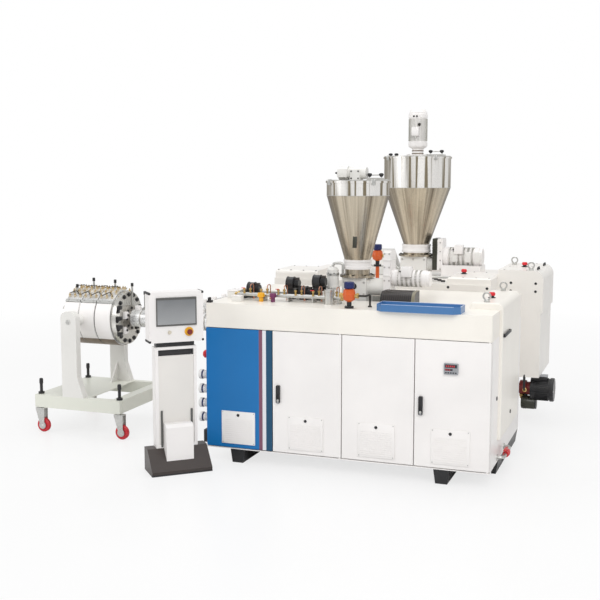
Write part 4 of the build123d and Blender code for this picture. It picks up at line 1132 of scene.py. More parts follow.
@dataclass(frozen=True)
class MotorTrim:
    """Cooling fins, end cowl, terminal box and gland of a flanged electric motor."""

    name: str
    finish: Finish
    start: Vector
    facing: Facing
    radius: float
    length: float
    fins: int = 36
    depth: float = 6

    def build(self, box: Point, grille_shade: Finish) -> None:
        """Adds the trim.

        Args:
            box: Which way the terminal box stands off the casing, as a unit vector.
            grille_shade: Finish of the cowl's grille rings, which paint the shade in its openings, and of its
                hub and gland.
        """
        along, away = self.facing.matrix().to_3x3() @ Vector((0, 0, 1)), Vector(box)
        middle, near, far, end, hub = (
            self.start + along * self.length * share * MM for share in (0.47, 0.02, 0.80, 0.921, 0.42)
        )
        # Painted shade: the fins take a darker grey than the casing to show the shade between them.
        fins = Piece(self.name + "_fins", FIN_SHADE_GREY)
        fins.fins(middle, self.facing, self.fins, self.radius - 1, (self.depth * 2, 2.2, self.length * 0.62))
        casing = Piece(self.name + "_casing", self.finish)
        wide, deep = self.radius + self.depth * 0.9, self.length * 0.12
        for spot in (near, far):
            casing.solid(((wide - 2, 0), (wide, 2), (wide, deep - 4), (wide - 4, deep)), spot, self.facing)
        centre = hub + away * (self.radius + 18) * MM
        reach = [abs(a) * 36 + abs(b) * 30 + abs(c) * 22 for a, b, c in zip(along, along.cross(away), away)]
        casing.block(centre, [-side for side in reach], reach, 4)
        # Painted shade: rings on the cowl's end stand for the shade in the grille's openings.
        dark = Piece(self.name + "_grille", grille_shade)
        for step in range(5):
            ring = self.radius * (0.92 - step * 0.17)
            dark.ring(((ring, -1), (ring, 1.2), (ring - 4, 1.2), (ring - 4, -1)), end, self.facing, 36)
        dark.boss(self.radius * 0.16, 3, end, self.facing, 24)
        back = {UP: DOWN, RIGHT: LEFT}[self.facing]
        dark.solid(((9, 0), (9, 8), (6, 10), (6, 18)), centre - along * 36 * MM, back, 16)


@dataclass(frozen=True)
class DeckGear:
    """What stands on the front deck and in its barrel well: blowers, vents, valves and water pipes."""

    blower_places: tuple[tuple[float, float], ...] = ((185, 110), (490, 160), (588, 97), (690, 180))
    blower_row: float = 400
    blower_radius: float = 46
    valve_height: float = 175
    valve_radius: float = 44
    manifold_row: float = 235
    manifold_lift: float = 40

    def build(self) -> None:
        """Dresses the gear and adds its fittings."""
        dress(ORANGE, "vent_valves")
        dress(GREY_WHITE, "vent_hoods")
        dress(STEEL, "front_barrel")
        dress(BAND_METAL, "front_barrel_heaters")
        self.valves()
        self.vents()
        self.blowers()
        self.manifold()
        self.boxes()
        self.barrel()

    @property
    def corner(self) -> Vector:
        """Returns the deck's upper left front corner."""
        return Extent.of("front_deck").at(0, 0, 1)

    def valves(self) -> None:
        """Adds feet, caps and side pipes to the orange vent valves."""
        both, radius = Extent.of("vent_valves"), self.valve_radius
        front = off((both.high.x, both.low.y, both.low.z), -radius, radius, 0)
        rear = off((both.low.x, both.high.y, both.high.z), radius, -radius, -self.valve_height)
        feet, caps = Piece("valve_feet", BLACK), Piece("valve_caps", NAVY)
        outlets = Piece("valve_outlets", BRASS)
        for spot in (front, rear):
            feet.solid(((31, -1), (31, 12.5), (16.5, 13.5), (16.5, 44)), spot, steps=32)
            feet.heads(off(spot, 0, 0, 12.5), UP, 4, 24, 4, 4)
            caps.solid(((26, 129), (34, 137), (34, 172), (30, 178)), spot, steps=32)
            caps.ribs(off(spot, 0, 0, 142), UP, 4, 9, 35.5, 4)
            for facing in (LEFT, RIGHT):
                outline = ((14, 34), (14, 52), (18, 52), (18, 66), (10, 70))
                outlets.solid(outline, off(spot, 0, 0, 85), facing, 24)
        stand = Vector((rear.x, rear.y, max(1.165, Extent.of("back_barrel_cover").low.z)))
        feet.solid(((32, -1), (32, 10), (18, 12), (18, 20)), stand, steps=28)
        pipe = Piece("front_valve_pipe", DARK_STEEL)
        start = off(front, 66, 0, 85)
        pipe.pipe(start, (ORIGIN, (50, 0, 0), (50, 100, 0), (50, 100, -90)), 7)
        pipe.boss(14, 10, off(start, 50, 100, -86), steps=20)

    def vents(self) -> None:
        """Adds bolts and clamp rings to the vent dome and the vent hood."""
        hood = Extent.of("vent_hoods")
        dome = Vector((hood.low.x + 0.206, at(0, 550, 0).y, 0))
        bolts, clamp = Piece("vent_dome_bolts", DARK_STEEL), Piece("vent_dome_clamp", ZINC)
        for height, radius in ((1150, 62), (1300, 40)):
            spot = off(dome, 0, 0, height)
            clamp.lathe(((radius, 0), (radius + 6, 0), (radius + 6, 14), (radius, 14)), spot, steps=36)
            bolts.heads(off(spot, 0, 0, 14), UP, 6, radius + 1, 4.2, 4)
        clamp.pipe(dome, ((0, 0, 1340), (0, 0, 1385), (70, 20, 1385), (70, 20, 1300)), 10)
        seam = Piece("vent_hood_seams", ZINC)
        low = Vector((hood.low.x, at(0, 2010, 0).y, 1.166))
        seam.blocks(low, 1, ((-12, -12, -1), (302, 4, 6)), ((-12, 256, -1), (302, 272, 6)))
        seam.rows(off(low, 0, -6, 6), UP, (6, 58), (2, 272), 4, 2)

    def blowers(self) -> None:
        """Adds inlet guards, duct clamps, motor ribs and terminal boxes to the blowers."""
        guards, ribs = Piece("blower_inlet_guards", DARK_STEEL), Piece("blower_motor_ribs", BLACK)
        boxes = Piece("blower_terminal_boxes", BROWN_BLACK)
        radius = self.blower_radius
        for place, rise in self.blower_places:
            spot = off(self.corner, place, self.blower_row, rise - radius)
            for step in range(4):
                guards.ribs(off(spot, -28.5, 0, 0), LEFT, 1, 1.6, 34 - step * 8, 1.6 + step * 1.2)
            guards.heads(off(spot, -28, 0, 0), LEFT, 5, radius - 6, 2.6, 2)
            ribs.ribs(off(spot, 32, 0, 0), RIGHT, 4, 7, 33, 3)
            for side in (-24, 24):
                rim = ((radius - 1, -3), (radius + 3, -3), (radius + 3, 3), (radius - 1, 3))
                ribs.ring(rim, off(spot, side, 0, 0), RIGHT)
            boxes.block(spot, (34, -16, 22), (60, 16, 43), 3)
            boxes.block(spot, (-34, 58, -radius - 1), (34, 64, -8), 1)

    def manifold(self) -> None:
        """Adds the cooling water manifold in front of the blowers, with its taps, tubes and knobs."""
        lift = self.manifold_lift
        base = off(self.corner, 130, self.manifold_row, lift)
        pipes, taps = Piece("water_manifold", ZINC), Piece("water_taps", BRASS)
        tubes, grips = Piece("water_tubes", COPPER), Piece("water_tap_grips", RED_PLASTIC)
        for row in (0, 45):
            pipes.pipe(base, ((0, row, 0), (800, row, 0)), 11)
            for end, facing in ((0, LEFT), (800, RIGHT)):
                taps.solid(((16, -12), (16, 4), (10, 8)), off(base, end, row, 0), facing, 6)
        for x in range(30, 800, 185):
            pipes.block(base, (x - 9, -15, -lift - 1), (x + 9, 60, 4 - lift), 1)
            pipes.block(base, (x - 5, -12, -lift), (x + 5, 57, 0), 1)
        stem = ((9, 0), (9, 10), (6, 12), (6, 24), (10, 26), (10, 38), (0, 40))
        for step in range(6):
            spot = off(base, 65 + step * 130, 0, 0)
            taps.solid(stem, off(spot, 0, 0, 6), UP, 16)
            taps.solid(stem, off(spot, 28, 45, 4), UP, 16)
            if step % 2 == 0:
                grips.block(spot, (-22, -4, 44), (6, 4, 49), 2)
            tubes.pipe(spot, ((28, 45, 40), (28, 45, 68), (28, 105, 68), (28, 105, 10 - lift)), 3.5, 18, 10)
            tubes.boss(8, 12, off(spot, 28, 105, -lift - 1), UP, 12)
        for name, finish, place, wide in (
            ("amber_knob", YELLOW_PLASTIC, 340, 26),
            ("violet_knob", VIOLET_PLASTIC, 430, 24),
        ):
            knob = ((wide * 0.6, -1), (wide * 0.6, 30), (wide, 34), (wide, 55), (wide * 0.8, 62), (0, 63))
            Piece(name, finish).solid(knob, off(self.corner, place, self.manifold_row - 40, 0), UP, 24)

    def boxes(self) -> None:
        """Adds the terminal boxes, vacuum pots and conduits at the deck's left end and by the gearbox."""
        corner = self.corner
        boxes, lids = Piece("deck_terminal_boxes", GREY_WHITE), Piece("deck_terminal_lids", WHITE)
        screws, pots = Piece("deck_terminal_screws", ZINC), Piece("vacuum_pots", BRIGHT_STEEL)
        cables = Piece("deck_conduits", BLACK_PLASTIC)
        sizes = (30, 300, 85, 130, 50), (140, 130, 70, 60, 35), (760, 300, 90, 100, 70)
        for x, y, wide, deep, high in sizes:
            base = off(corner, x, y, -1)
            boxes.block(base, ORIGIN, (wide, deep, high), 4)
            lids.block(base, (-2, -2, high), (wide + 2, deep + 2, high + 8), 3)
            screws.rows(off(base, 9, 9, high + 8), UP, (2, wide - 18), (2, deep - 18), 3.5, 1.2)
        for x, y, thin, high in ((845, 200, 34, 105), (130, 390, 22, 60)):
            wide = thin + 4
            foot = ((wide, -1), (wide, 6), (thin, 8), (thin, high - 16))
            lid = ((wide, high - 14), (wide, high - 4), (thin * 0.6, high), (0, high + 4))
            pots.solid((*foot, *lid), off(corner, x, y, 0), UP, 36)
        for y in range(315, 400, 28):
            cables.pipe(corner, ((112, y, 20), (160, y, 20), (160, y, 4)), 6.5, 20, 10)
        cables.pipe(corner, ((800, 390, 50), (800, 440, 50), (800, 440, 0)), 8)

    def barrel(self) -> None:
        """Adds clamp screws, terminal covers and probes to the heated barrel in its well."""
        shells, barrel = Extent.of("front_barrel_heaters"), Extent.of("front_barrel")
        covers, probes = Piece("barrel_terminal_covers", WHITE), Piece("barrel_probes", BRASS)
        wires, bolts = Piece("barrel_probe_wires", ZINC), Piece("barrel_flange_bolts", DARK_STEEL)
        stem = ((8, -10), (8, 10), (4.5, 12), (4.5, 45), (8, 48), (8, 60), (0, 62))
        for step in range(5):
            spot = shells.at(0.10 + step * 0.20, 0.5, 1)
            covers.block(spot, (-30, -45, -20), (30, 45, 12), 6)
            probes.solid(stem, off(spot, 62, 0, -12), UP, 16)
            wires.pipe(spot, ((62, 0, 45), (62, 0, 65), (62, -150, 65), (62, -150, -20)), 3, 20, 8)
        spot = barrel.at(0, 0.5, 0.5)
        spot.y = shells.at(0, 0.5, 0).y
        bolts.heads(spot, LEFT, 10, barrel.sides.y * 0.40, 9, 6)


@dataclass(frozen=True)
class Feeders:
    """The two metering feeders below the hoppers, with their drives."""

    bolt: float = 6

    def build(self) -> None:
        """Dresses the feeders and adds flange bolts, seams, the sight port and the motors' trim."""
        dress(GREY_WHITE, "front_feeder back_feeder")
        dress(WHITE, "front_feeder_motor back_feeder_motor")
        bolts = Piece("front_feeder_bolts", ZINC)
        bolts.heads(at(-988, 650, 1216), RIGHT, 6, 56, self.bolt, 4)
        bolts.rows(at(-1165, 559.5, 1165), FRONT, (2, 150), (2, 85), self.bolt, 3)
        bolts.rows(at(-867, 574, 1174), FRONT, (2, 34), (4, 95), 4.5, 3)
        Piece("front_feeder_sight_port", DARK_GLASS).boss(22, 6, at(-1090, 560.5, 1222), FRONT, 28)
        seams = Piece("front_gear_case_seams", GREY_WHITE)
        seams.blocks(at(-878, 570, 1300), 1, (ORIGIN, (56, 160, 6)), ((0, 0, 110), (56, 160, 116)))
        trim = MotorTrim("front_feeder_motor", WHITE, at(-825, 650, 1284), RIGHT, 55, 275, 32)
        trim.build((0, -0.7071, 0.7071), BLACK)
        bolts = Piece("back_feeder_bolts", ZINC)
        bolts.rows(at(-1110, 2027.5, 1185), FRONT, (3, 95), (2, 120), self.bolt, 3)
        bolts.rows(at(-790, 2064.5, 1225), FRONT, (1, 0), (4, 75), 4.5, 3)
        half = Piece("back_gear_case_half", OLIVE_BLACK)
        half.block(at(-858.5, 2063.5, 1215), ORIGIN, (43.5, 153, 268.5), 4)
        half.slats(at(-836.5, 2140, 1355), 8, (0, 0, 14), (47, 163, 4))
        trim = MotorTrim("back_feeder_motor", WHITE, at(-771, 2140, 1330), RIGHT, 76, 330, 44, 5)
        trim.build((0, -0.7071, 0.7071), BLACK)
        boxes = Piece("back_feeder_motor_boxes", GREY_WHITE)
        for x in (-690, -580, -500):
            boxes.block(at(x, 2055, 1290), ORIGIN, (50, 20, 85), 4)


@dataclass(frozen=True)
class Hoppers:
    """The two hoppers with their lids and stirring motors."""

    slot_size: tuple[float, float] = (30, 150)
    slot_middle: float = 1.575
    front_band: float = 0.104
    back_band: float = 0.258

    def build(self) -> None:
        """Dresses the hoppers and adds their fittings."""
        self.rings("front", self.front_band, 92, 56, 128)
        self.rings("back", self.back_band, 114, 30, 150)
        dress(WHITE, "back_stirrer_motor")
        dress(GREY_WHITE, "front_stirrer_motor")
        self.sight_slot()
        self.lid_knobs()
        self.stirrers()

    def rings(self, side: str, band: float, neck: float, start: float, foot: float) -> None:
        """Dresses one hopper and adds its weld line, neck ring, foot bolts and lid clamps.

        Args:
            side: Which hopper, front or back.
            band: Height of its straight band in metres.
            neck: Radius of its neck.
            start: Where the neck ring starts above the hopper's foot.
            foot: Radius of the foot.
        """
        hopper = Extent.of(side + "_hopper")
        base, rim, line = hopper.at(0.5, 0.5, 0), hopper.sides.x / 2, hopper.high.z - band
        sheet = HopperSheet(side + "_hopper_sheet", "satin_stainless", (base.x, base.y), line)
        dress(sheet, side + "_hopper")
        dress(BRIGHT_STEEL, side + "_hopper_lid")
        weld = ((rim - 8, -2.2), (rim - 5.8, -1), (rim - 5.8, 1), (rim - 8, 2.2))
        Piece(side + "_hopper_weld", ZINC).ring(weld, (base.x, base.y, line), steps=96)
        ring, wide, thin = Piece(side + "_hopper_neck_ring", WHITE), neck + 10, neck + 6
        lower = ((neck - 2, 0), (wide, 2), (wide, 20), (thin, 24))
        upper = ((thin, 50), (wide, 54), (wide, 68), (neck - 4, 72))
        ring.lathe((*lower, *upper), off(base, 0, 0, start), steps=56)
        ring.heads(off(base, 0, 0, start + 68.5), UP, 8, neck + 4, 4.5, 3)
        Piece(side + "_hopper_foot_bolts", DARK_STEEL).heads(off(base, 0, 0, 14), UP, 8, foot - 14, 8, 6)
        clamps = Piece(side + "_lid_clamps", ZINC)
        for step in range(4):
            turn = math.radians(45 + 90 * step)
            spot = off(base, (rim - 3) * math.cos(turn), (rim - 3) * math.sin(turn), hopper.sides.z)
            clamps.block(spot, (-12, -12, -30), (12, 12, 12), 3)

    def sight_slot(self) -> None:
        """Adds the framed sight slot on the front hopper's cone."""
        hopper = Extent.of("front_hopper")
        centre, foot = hopper.at(0.5, 0.5, 0), hopper.low.z + 0.108
        slope = (0.226 - 0.090) / (hopper.high.z - self.front_band - foot)
        turn, radius = math.radians(-81), 0.090 + slope * (self.slot_middle - foot)
        x, y = centre.x + radius * math.cos(turn), centre.y + radius * math.sin(turn)
        spot = Vector((x, y, self.slot_middle))
        lean = Matrix.Rotation(turn + math.pi * 1.5, 4, "Z") @ Matrix.Rotation(math.atan(slope), 4, "X")
        place = Matrix.Translation(spot) @ lean
        x, z = (side / 2 for side in self.slot_size)
        glass = Piece("sight_slot_glass", OLIVE_BLACK, turn=place)
        glass.block(ORIGIN, (4 - x, -4, 4 - z), (x - 4, 3.5, z - 4), 2)
        rim = Piece("sight_slot_frame", OLIVE_BLACK, turn=place)
        rim.blocks(ORIGIN, 1, ((-x, -4, -z), (5 - x, 4, z)), ((x - 5, -4, -z), (x, 4, z)))
        rim.blocks(ORIGIN, 1, ((-x, -4, -z), (x, 4, 5 - z)), ((-x, -4, z - 5), (x, 4, z)))

    def lid_knobs(self) -> None:
        """Adds handles and black knobs to the two lids and their fill covers."""
        bars, knobs = Piece("lid_handles", ZINC), Piece("lid_knobs", BLACK_PLASTIC)
        spots = [at(-1252, 2140, 2177), at(-1201, 2140, 2177)]
        for low, wide in ((at(-1006, 650, 1992), 90), (at(-905, 2140, 2192), 100)):
            bars.pipe(low, (ORIGIN, (0, 0, 24), (wide, 0, 24), (wide, 0, 0)), 4.5, 12, 12)
            spots += [off(low, 2, 0, 10), off(low, wide - 2, 0, 10)]
        for spot in spots:
            knobs.solid(((8, 0), (10, 4), (16, 10), (18, 18), (14, 25), (0, 28)), spot, UP, 24)

    def stirrers(self) -> None:
        """Adds the trim of the lying and of the standing stirring motor."""
        trim = MotorTrim("front_stirrer_motor", GREY_WHITE, at(-1224, 650, 2030), RIGHT, 43, 86, 28, 4)
        trim.build((0, -1, 0), BLACK)
        Piece("front_stirrer_bolts", DARK_STEEL).rows(at(-1128, 601, 1992), FRONT, (2, 52), (2, 50), 4, 3)
        trim = MotorTrim("back_stirrer_motor", WHITE, at(-1015, 2140, 2256), UP, 76, 300, 40, 5)
        trim.build((0, -1, 0), GREY_WHITE)
        dots = Piece("back_stirrer_bolts", DARK_STEEL)
        dots.heads(at(-1015, 2140, 2190.5), UP, 8, 82, 6, 4)
        dots.boss(13, 4, at(-985, 2062, 2440), FRONT, 20)
        for x in (-1041, -1015):
            dots.block(at(x, 2056.5, 2503), ORIGIN, (16, 10, 13), 2)
        # Painted shade: two dark rings where shade falls at the motor's neck, over the neck's own brownish
        # joint lines.
        Piece("back_stirrer_neck_shade_bands", SHADE_BROWN_METAL).ribs(at(-1015, 2140, 2199), UP, 2, 24, 50.5, 8, 40)


@dataclass(frozen=True)
class BackMachine:
    """The back extruder's cabinet, covers and oil pump."""

    deck_height: float = 1165

    def build(self) -> None:
        """Dresses the back machine and adds its fittings."""
        dress(BACK_CREAM, "back_cabinet back_barrel_cover back_drive_cover back_end_cover")
        dress(BLACK, "back_skid oil_pump")
        self.screws()
        self.panels()
        self.deck_fittings()
        self.pump()

    def screws(self) -> None:
        """Adds the dark cover screws that show on the front faces and on the end hood."""
        cover, hood, barrel = map(Extent.of, ("back_drive_cover", "back_end_cover", "back_barrel_cover"))
        screws = Piece("back_cover_screws", BLACK_PLASTIC)
        for x in (-590, -285):
            screws.rows(at(x, 1450, 1083), FRONT, (1, 0), (2, 59), 7.5, 2, 16)
        for x in (105, 300):
            for y, facing in ((hood.low.y, FRONT), (hood.high.y, BACK)):
                screws.rows(off((hood.low.x, y, 0), x, 0, 1096), facing, (1, 0), (2, 64), 7.5, 2, 16)
        for box in (cover, barrel):
            wide, deep, _ = box.sides
            screws.rows(off(box.at(0, 0, 1), 20, 20, 0), UP, (4, (wide - 40) / 3), (2, deep - 40), 5, 1.5, 14)
        wide, deep, _ = hood.sides
        screws.rows(hood.at(0.12, 0.06, 1), UP, (2, wide * 0.5), (3, deep * 0.44), 5, 1.5, 14)

    def panels(self) -> None:
        """Adds the lift-off panels, their air slots and turn locks to the cabinet's sides and left end."""
        cabinet = Extent.of("back_cabinet")
        base, deep, pitch = cabinet.low, cabinet.sides.y, cabinet.sides.x / 4
        wall = self.deck_height - cabinet.low.z / MM
        plates, locks = Piece("back_cabinet_panels", BACK_CREAM), Piece("back_cabinet_locks", BLACK_PLASTIC)
        slots = Piece("back_cabinet_air_slots", GREY_PLASTIC)
        for bay in range(4):
            left, right = bay * pitch + 10, (bay + 1) * pitch - 10
            for y, out, facing in ((0, -1, FRONT), (deep, 1, BACK)):
                near, far = sorted((y - out, y + out * 4))
                plates.block(base, (left, near, 12), (right, far, wall - 190), 2)
                locks.rows(off(base, left + 30, y + out * 4, 740), facing, (2, pitch - 80), (1, 0), 9, 3, 20)
                slots.slats(off(base, (left + right) / 2, y + out * 4.5, 100), 10, (0, 0, 18), (200, 3, 6))
        plates.block(base, (-4, 60, 60), (1, deep - 60, wall - 100), 2)
        locks.rows(off(base, -4, 90, 90), LEFT, (2, wall - 240), (2, deep - 180), 9, 3, 20)

    def deck_fittings(self) -> None:
        """Adds the hose clips, the oil lines and the pull handles on the back machine's deck."""
        clips, pipes = Piece("back_deck_clips", BLACK_PLASTIC), Piece("back_oil_lines", ZINC)
        for step in range(4):
            spot = at(-800 + step * 45, 1830 - step * 72, self.deck_height)
            clips.block(spot, (-16, -10, -1), (16, 10, 14), 3)
        for y in (1620, 1665):
            pipes.pipe(at(-800, y, 1200), ((0, 0, -35), ORIGIN, (200, 0, 0)), 8)
        pipes.pipe(at(-1400, 1950, 1160), (ORIGIN, (0, 0, 90), (280, 0, 90), (280, 0, 0)), 10, 30)
        pulls = Piece("back_hood_pulls", BLACK_PLASTIC)
        for share in (0.22, 0.78):
            route = ((-60, -50, -30), (-60, -50, 16), (-60, 50, 16), (-60, 50, -30))
            pulls.pipe(Extent.of("back_end_cover").at(1, share, 1), route, 6, 12, 12)

    def pump(self) -> None:
        """Adds fins, end flange, head, filter and fittings to the hung oil pump."""
        motor, tank = at(20, 1900, 287), at(-56, 1900, 172)
        start = off(motor, -97, 0, 0)
        dark = Piece("oil_pump_motor_fins", BLACK)
        dark.fins(off(motor, 85, 0, 0), RIGHT, 40, 87, (12, 2.2, 105))
        dark.solid(((94, 150), (96, 153), (96, 176), (92, 182)), motor, RIGHT, 48)
        dark.solid(((94, -2), (94, 14)), motor, RIGHT, 48)
        dark.block(motor, (45, -45, 80), (125, 45, 110), 6)
        Piece("oil_pump_box_lid", GREY_PLASTIC).block(motor, (43, -47, 109), (127, 47, 116), 3)
        head = Piece("oil_pump_head", DARK_RED)
        head.solid(((44, 0), (50, 6), (50, 40), (46, 46), (46, 60), (54, 64), (54, 96)), start, RIGHT)
        head.block(start, (4, -30, 30), (60, 30, 62), 5)
        bolts = Piece("oil_pump_bolts", ZINC)
        bolts.heads(start, LEFT, 6, 36, 5, 4)
        bolts.heads(off(motor, 182, 0, 0), RIGHT, 4, 82, 5, 3)
        brass = Piece("oil_pump_fittings", BRASS)
        for spot, facing in ((off(start, 20, 0, -86), UP), (off(start, 52, -46, 0), FRONT)):
            brass.solid(((14, 0), (14, 16), (19, 18), (19, 34), (12, 37), (12, 48)), spot, facing, 6)
        can = Piece("oil_filter_can", OLIVE_BLACK)
        can.solid(((46, -2), (54.5, 6), (54.5, 104), (48, 116), (30, 122)), tank, RIGHT, 44)
        can.ribs(off(tank, 18, 0, 0), RIGHT, 3, 9, 56.5, 3, 44)
        route = ((52, -84, 0), (52, -114, 0), (52, -114, 140), (52, -34, 180))
        Piece("oil_hose", BLACK_PLASTIC).pipe(start, route, 10, 40, 12)


@dataclass(frozen=True)
class DieHead:
    """The die head, its heater covers and the melt pipes that feed it."""

    axis: tuple[float, float] = (650, 890)
    band_radius: float = 222
    flange_radius: float = 210
    flange_face: float = -2985

    def build(self) -> None:
        """Dresses the die head and adds its fittings."""
        dress(BRIGHT_STEEL, "die_body")
        dress(BAND_METAL, "die_heater_bands")
        dress(STEEL, "melt_adapter cross_melt_pipe")
        dress(GREY_WHITE, "die_posts")
        self.covers()
        self.terminals()
        self.studs()
        self.flange()
        self.pipes()
        self.posts()

    def on_band(self, x: float, angle: float, lift: float = -1) -> Vector:
        """Returns a point over the heater bands.

        Args:
            x: Distance along X from the front cabinet's corner.
            angle: Angle round the die in degrees, from the near side upwards.
            lift: How far the point lies outside the bands.

        Returns:
            The point in metres.
        """
        turn, radius = math.radians(angle), self.band_radius + lift
        y, z = self.axis
        return at(x, y - radius * math.cos(turn), z + radius * math.sin(turn))

    def sector(self, piece: Piece, low: float, high: float, start: float, end: float, thick: float) -> None:
        """Adds a curved plate over the bands to a piece.

        Args:
            piece: The piece that takes the plate.
            low: Its left end along X.
            high: Its right end.
            start: Its lower edge in degrees from the near side upwards.
            end: Its upper edge.
            thick: Its thickness.
        """
        steps = max(4, int(abs(end - start) / 4))
        angles = [start + (end - start) * step / steps for step in range(steps + 1)]
        outer = [self.on_band(low, angle, thick - 1) for angle in angles]
        piece.prism([*outer, *(self.on_band(low, angle) for angle in reversed(angles))], high - low)

    def covers(self) -> None:
        """Adds the white front covers, the dark belly shells that paint the shade under the die, and the clamp
        strips of the heater bands.
        """
        white, belly = Piece("die_front_covers", WHITE), Piece("die_belly_shade_shells", SHADE_BROWN_METAL)
        strips = Piece("die_clamp_strips", ZINC)
        for low, high in ((-3449, -3316), (-3308, -3171), (-3163, -3028)):
            for start, end in ((-42, 34), (146, 222)):
                self.sector(white, low + 2, high - 2, start, end, 7)
            # Painted shade: dark shells over the lower side of the bands, where the die's underside lies in
            # shade.
            self.sector(belly, low, high, -136, -45, 3)
            for start in (36, 139):
                self.sector(strips, low, high, start, start + 5, 12)
                for share in (0.2, 0.8):
                    strips.boss(6, 10, self.on_band(low + (high - low) * share, start + 2.5, 8), UP, 8)

    def terminals(self) -> None:
        """Adds the terminal rows, their brass nuts and the bent leads on the upper part of the bands."""
        brass, caps = Piece("die_terminals", BRASS), Piece("die_terminal_insulators", TERMINAL_CREAM)
        leads = Piece("die_leads", DARK_STEEL)
        for row, angle in enumerate((50, 64, 78, 92, 106, 120, 134)):
            for step in range(9):
                spot = self.on_band(-3435 + step * 48 + row % 2 * 12, angle)
                caps.solid(((10, -4), (10, 12), (7, 14), (7, 22), (0, 24)), spot, UP, 10)
                brass.solid(((9.5, 12), (9.5, 19), (4, 20), (4, 30), (0, 31)), spot, UP, 6)
        for angle, lift in ((57, 12), (85, 22), (113, 12)):
            route = [self.on_band(-3440, angle, lift)]
            for step in range(1, 9):
                route.append(self.on_band(-3440 + 50 * step, angle + (6 if step % 2 else -6), lift + 4))
            leads.pipe(ORIGIN, [spot / MM for spot in route], 3.5, 12, 8)

    def studs(self) -> None:
        """Adds the tall clamp bolts with dark heads on top of the die."""
        rods, tops = Piece("die_studs", ZINC), Piece("die_stud_heads", BLACK)
        y, z = self.axis
        places = (
            (-3392, 550, 1154),
            (-3301, 650, 1199),
            (-3135, 700, 1185),
            (-2981, 700, 1163),
            (-2923, 800, 1089),
        )
        for x, across, height in places:
            foot = z - 12 + (self.flange_radius ** 2 - (across - y) ** 2) ** 0.5
            if x > self.flange_face:
                foot = z + 50
                rods.box(at(-2987, across - 20, foot - 12), at(x + 22, across + 20, foot + 10), 3)
            spot, rise = at(x, across, foot), height - foot
            rods.solid(((7.5, 0), (7.5, rise - 20)), spot, UP, 16)
            rods.boss(16, 12, off(spot, 0, 0, 8), UP, 6)
            tops.boss(12.5, 26, off(spot, 0, 0, rise - 26), UP, 6)

    def flange(self) -> None:
        """Adds bolts, lugs, bosses and plugs to the die's right flange, and bolts and rings to its nozzle."""
        face, nozzle = at(self.flange_face, *self.axis), at(-3550, *self.axis)
        bolts, boss = Piece("die_flange_bolts", BLACK), Piece("die_side_bosses", WHITE)
        dots, rings = Piece("die_probe_plugs", BLACK_PLASTIC), Piece("die_nozzle_rings", BRIGHT_STEEL)
        bolts.heads(face, RIGHT, 16, self.flange_radius - 24, 12.5, 13)
        bolts.heads(off(face, 24, 0, 0), RIGHT, 8, 80, 8, 8)
        bolts.heads(off(nozzle, 100, 0, 0), LEFT, 12, 130, 10, 10)
        bolts.heads(nozzle, LEFT, 8, 58, 7, 6)
        for height in (990, 905, 837, 781):
            bolts.block(at(-2985, 455, height), (0, 0, -16), (30, 45, 16), 6)
        for height, reach in ((920, 30), (800, 20)):
            boss.block(at(-2985, 545, height), (0, 0, -30), (reach, 65, 30), 8)
            dots.boss(10, 8, at(-2985 + reach, 578, height), RIGHT, 16)
        for along, radius in ((12, 79), (60, 82)):
            wide = radius + 3
            outline = ((60, 0), (radius, 0), (wide, 3), (wide, 24), (radius, 27), (60, 27))
            rings.ring(outline, off(nozzle, along, 0, 0), RIGHT, 48)

    def pipes(self) -> None:
        """Adds heater sleeves, clamp screws, terminals and bolts to the adapter and the cross pipe."""
        sleeves, screws = Piece("melt_pipe_sleeves", BAND_METAL), Piece("melt_pipe_screws", DARK_STEEL)
        plugs = Piece("melt_pipe_plugs", WHITE)
        for low, run in ((-2940, 80), (-2850, 100), (-2530, 110), (-2410, 110), (-2290, 120)):
            start, third = at(low, *self.axis), run * 0.3
            sleeves.ring(((58, 0), (68, 0), (70, 2), (70, run - 2), (68, run), (58, run)), start, RIGHT)
            screws.boss(6, 30, off(start, third, -12, -88), UP, 8)
            screws.block(start, (third - 10, -20, -86), (third + 10, 20, -66), 2)
            plugs.block(start, (run / 2 - 22, -20, 66), (run / 2 + 22, 20, 100), 5)
        near = at(-2640, 815, self.axis[1])
        pitch = ((Extent.of("cross_melt_pipe").high.y - near.y) / MM - 200) / 6
        run = pitch - 18
        for step in range(6):
            start = off(near, 0, step * pitch, 0)
            sleeves.ring(((45, 0), (61, 0), (63, 2), (63, run - 2), (61, run), (45, run)), start, BACK, 36)
            plugs.block(start, (-18, run / 2 - 20, 58), (18, run / 2 + 20, 88), 5)
        screws.heads(at(-2640, 565, 890), FRONT, 8, 62, 8, 6)
        screws.heads(at(-2640, 650, 975), UP, 8, 62, 8, 6)
        screws.heads(at(-2120, *self.axis), LEFT, 10, 85, 8, 6)

    def posts(self) -> None:
        """Adds foot bolts and clamp bolts to the yoke that carries the die."""
        bolts = Piece("die_post_bolts", ZINC)
        for y in (270, 1020):
            bolts.rows(at(-3215, y, 300), UP, (2, 22), (2, 28), 5, 4, 6)
        for y, facing in ((260, FRONT), (1040, BACK)):
            bolts.boss(20, 6, at(-3298, y, 890), facing, 6)


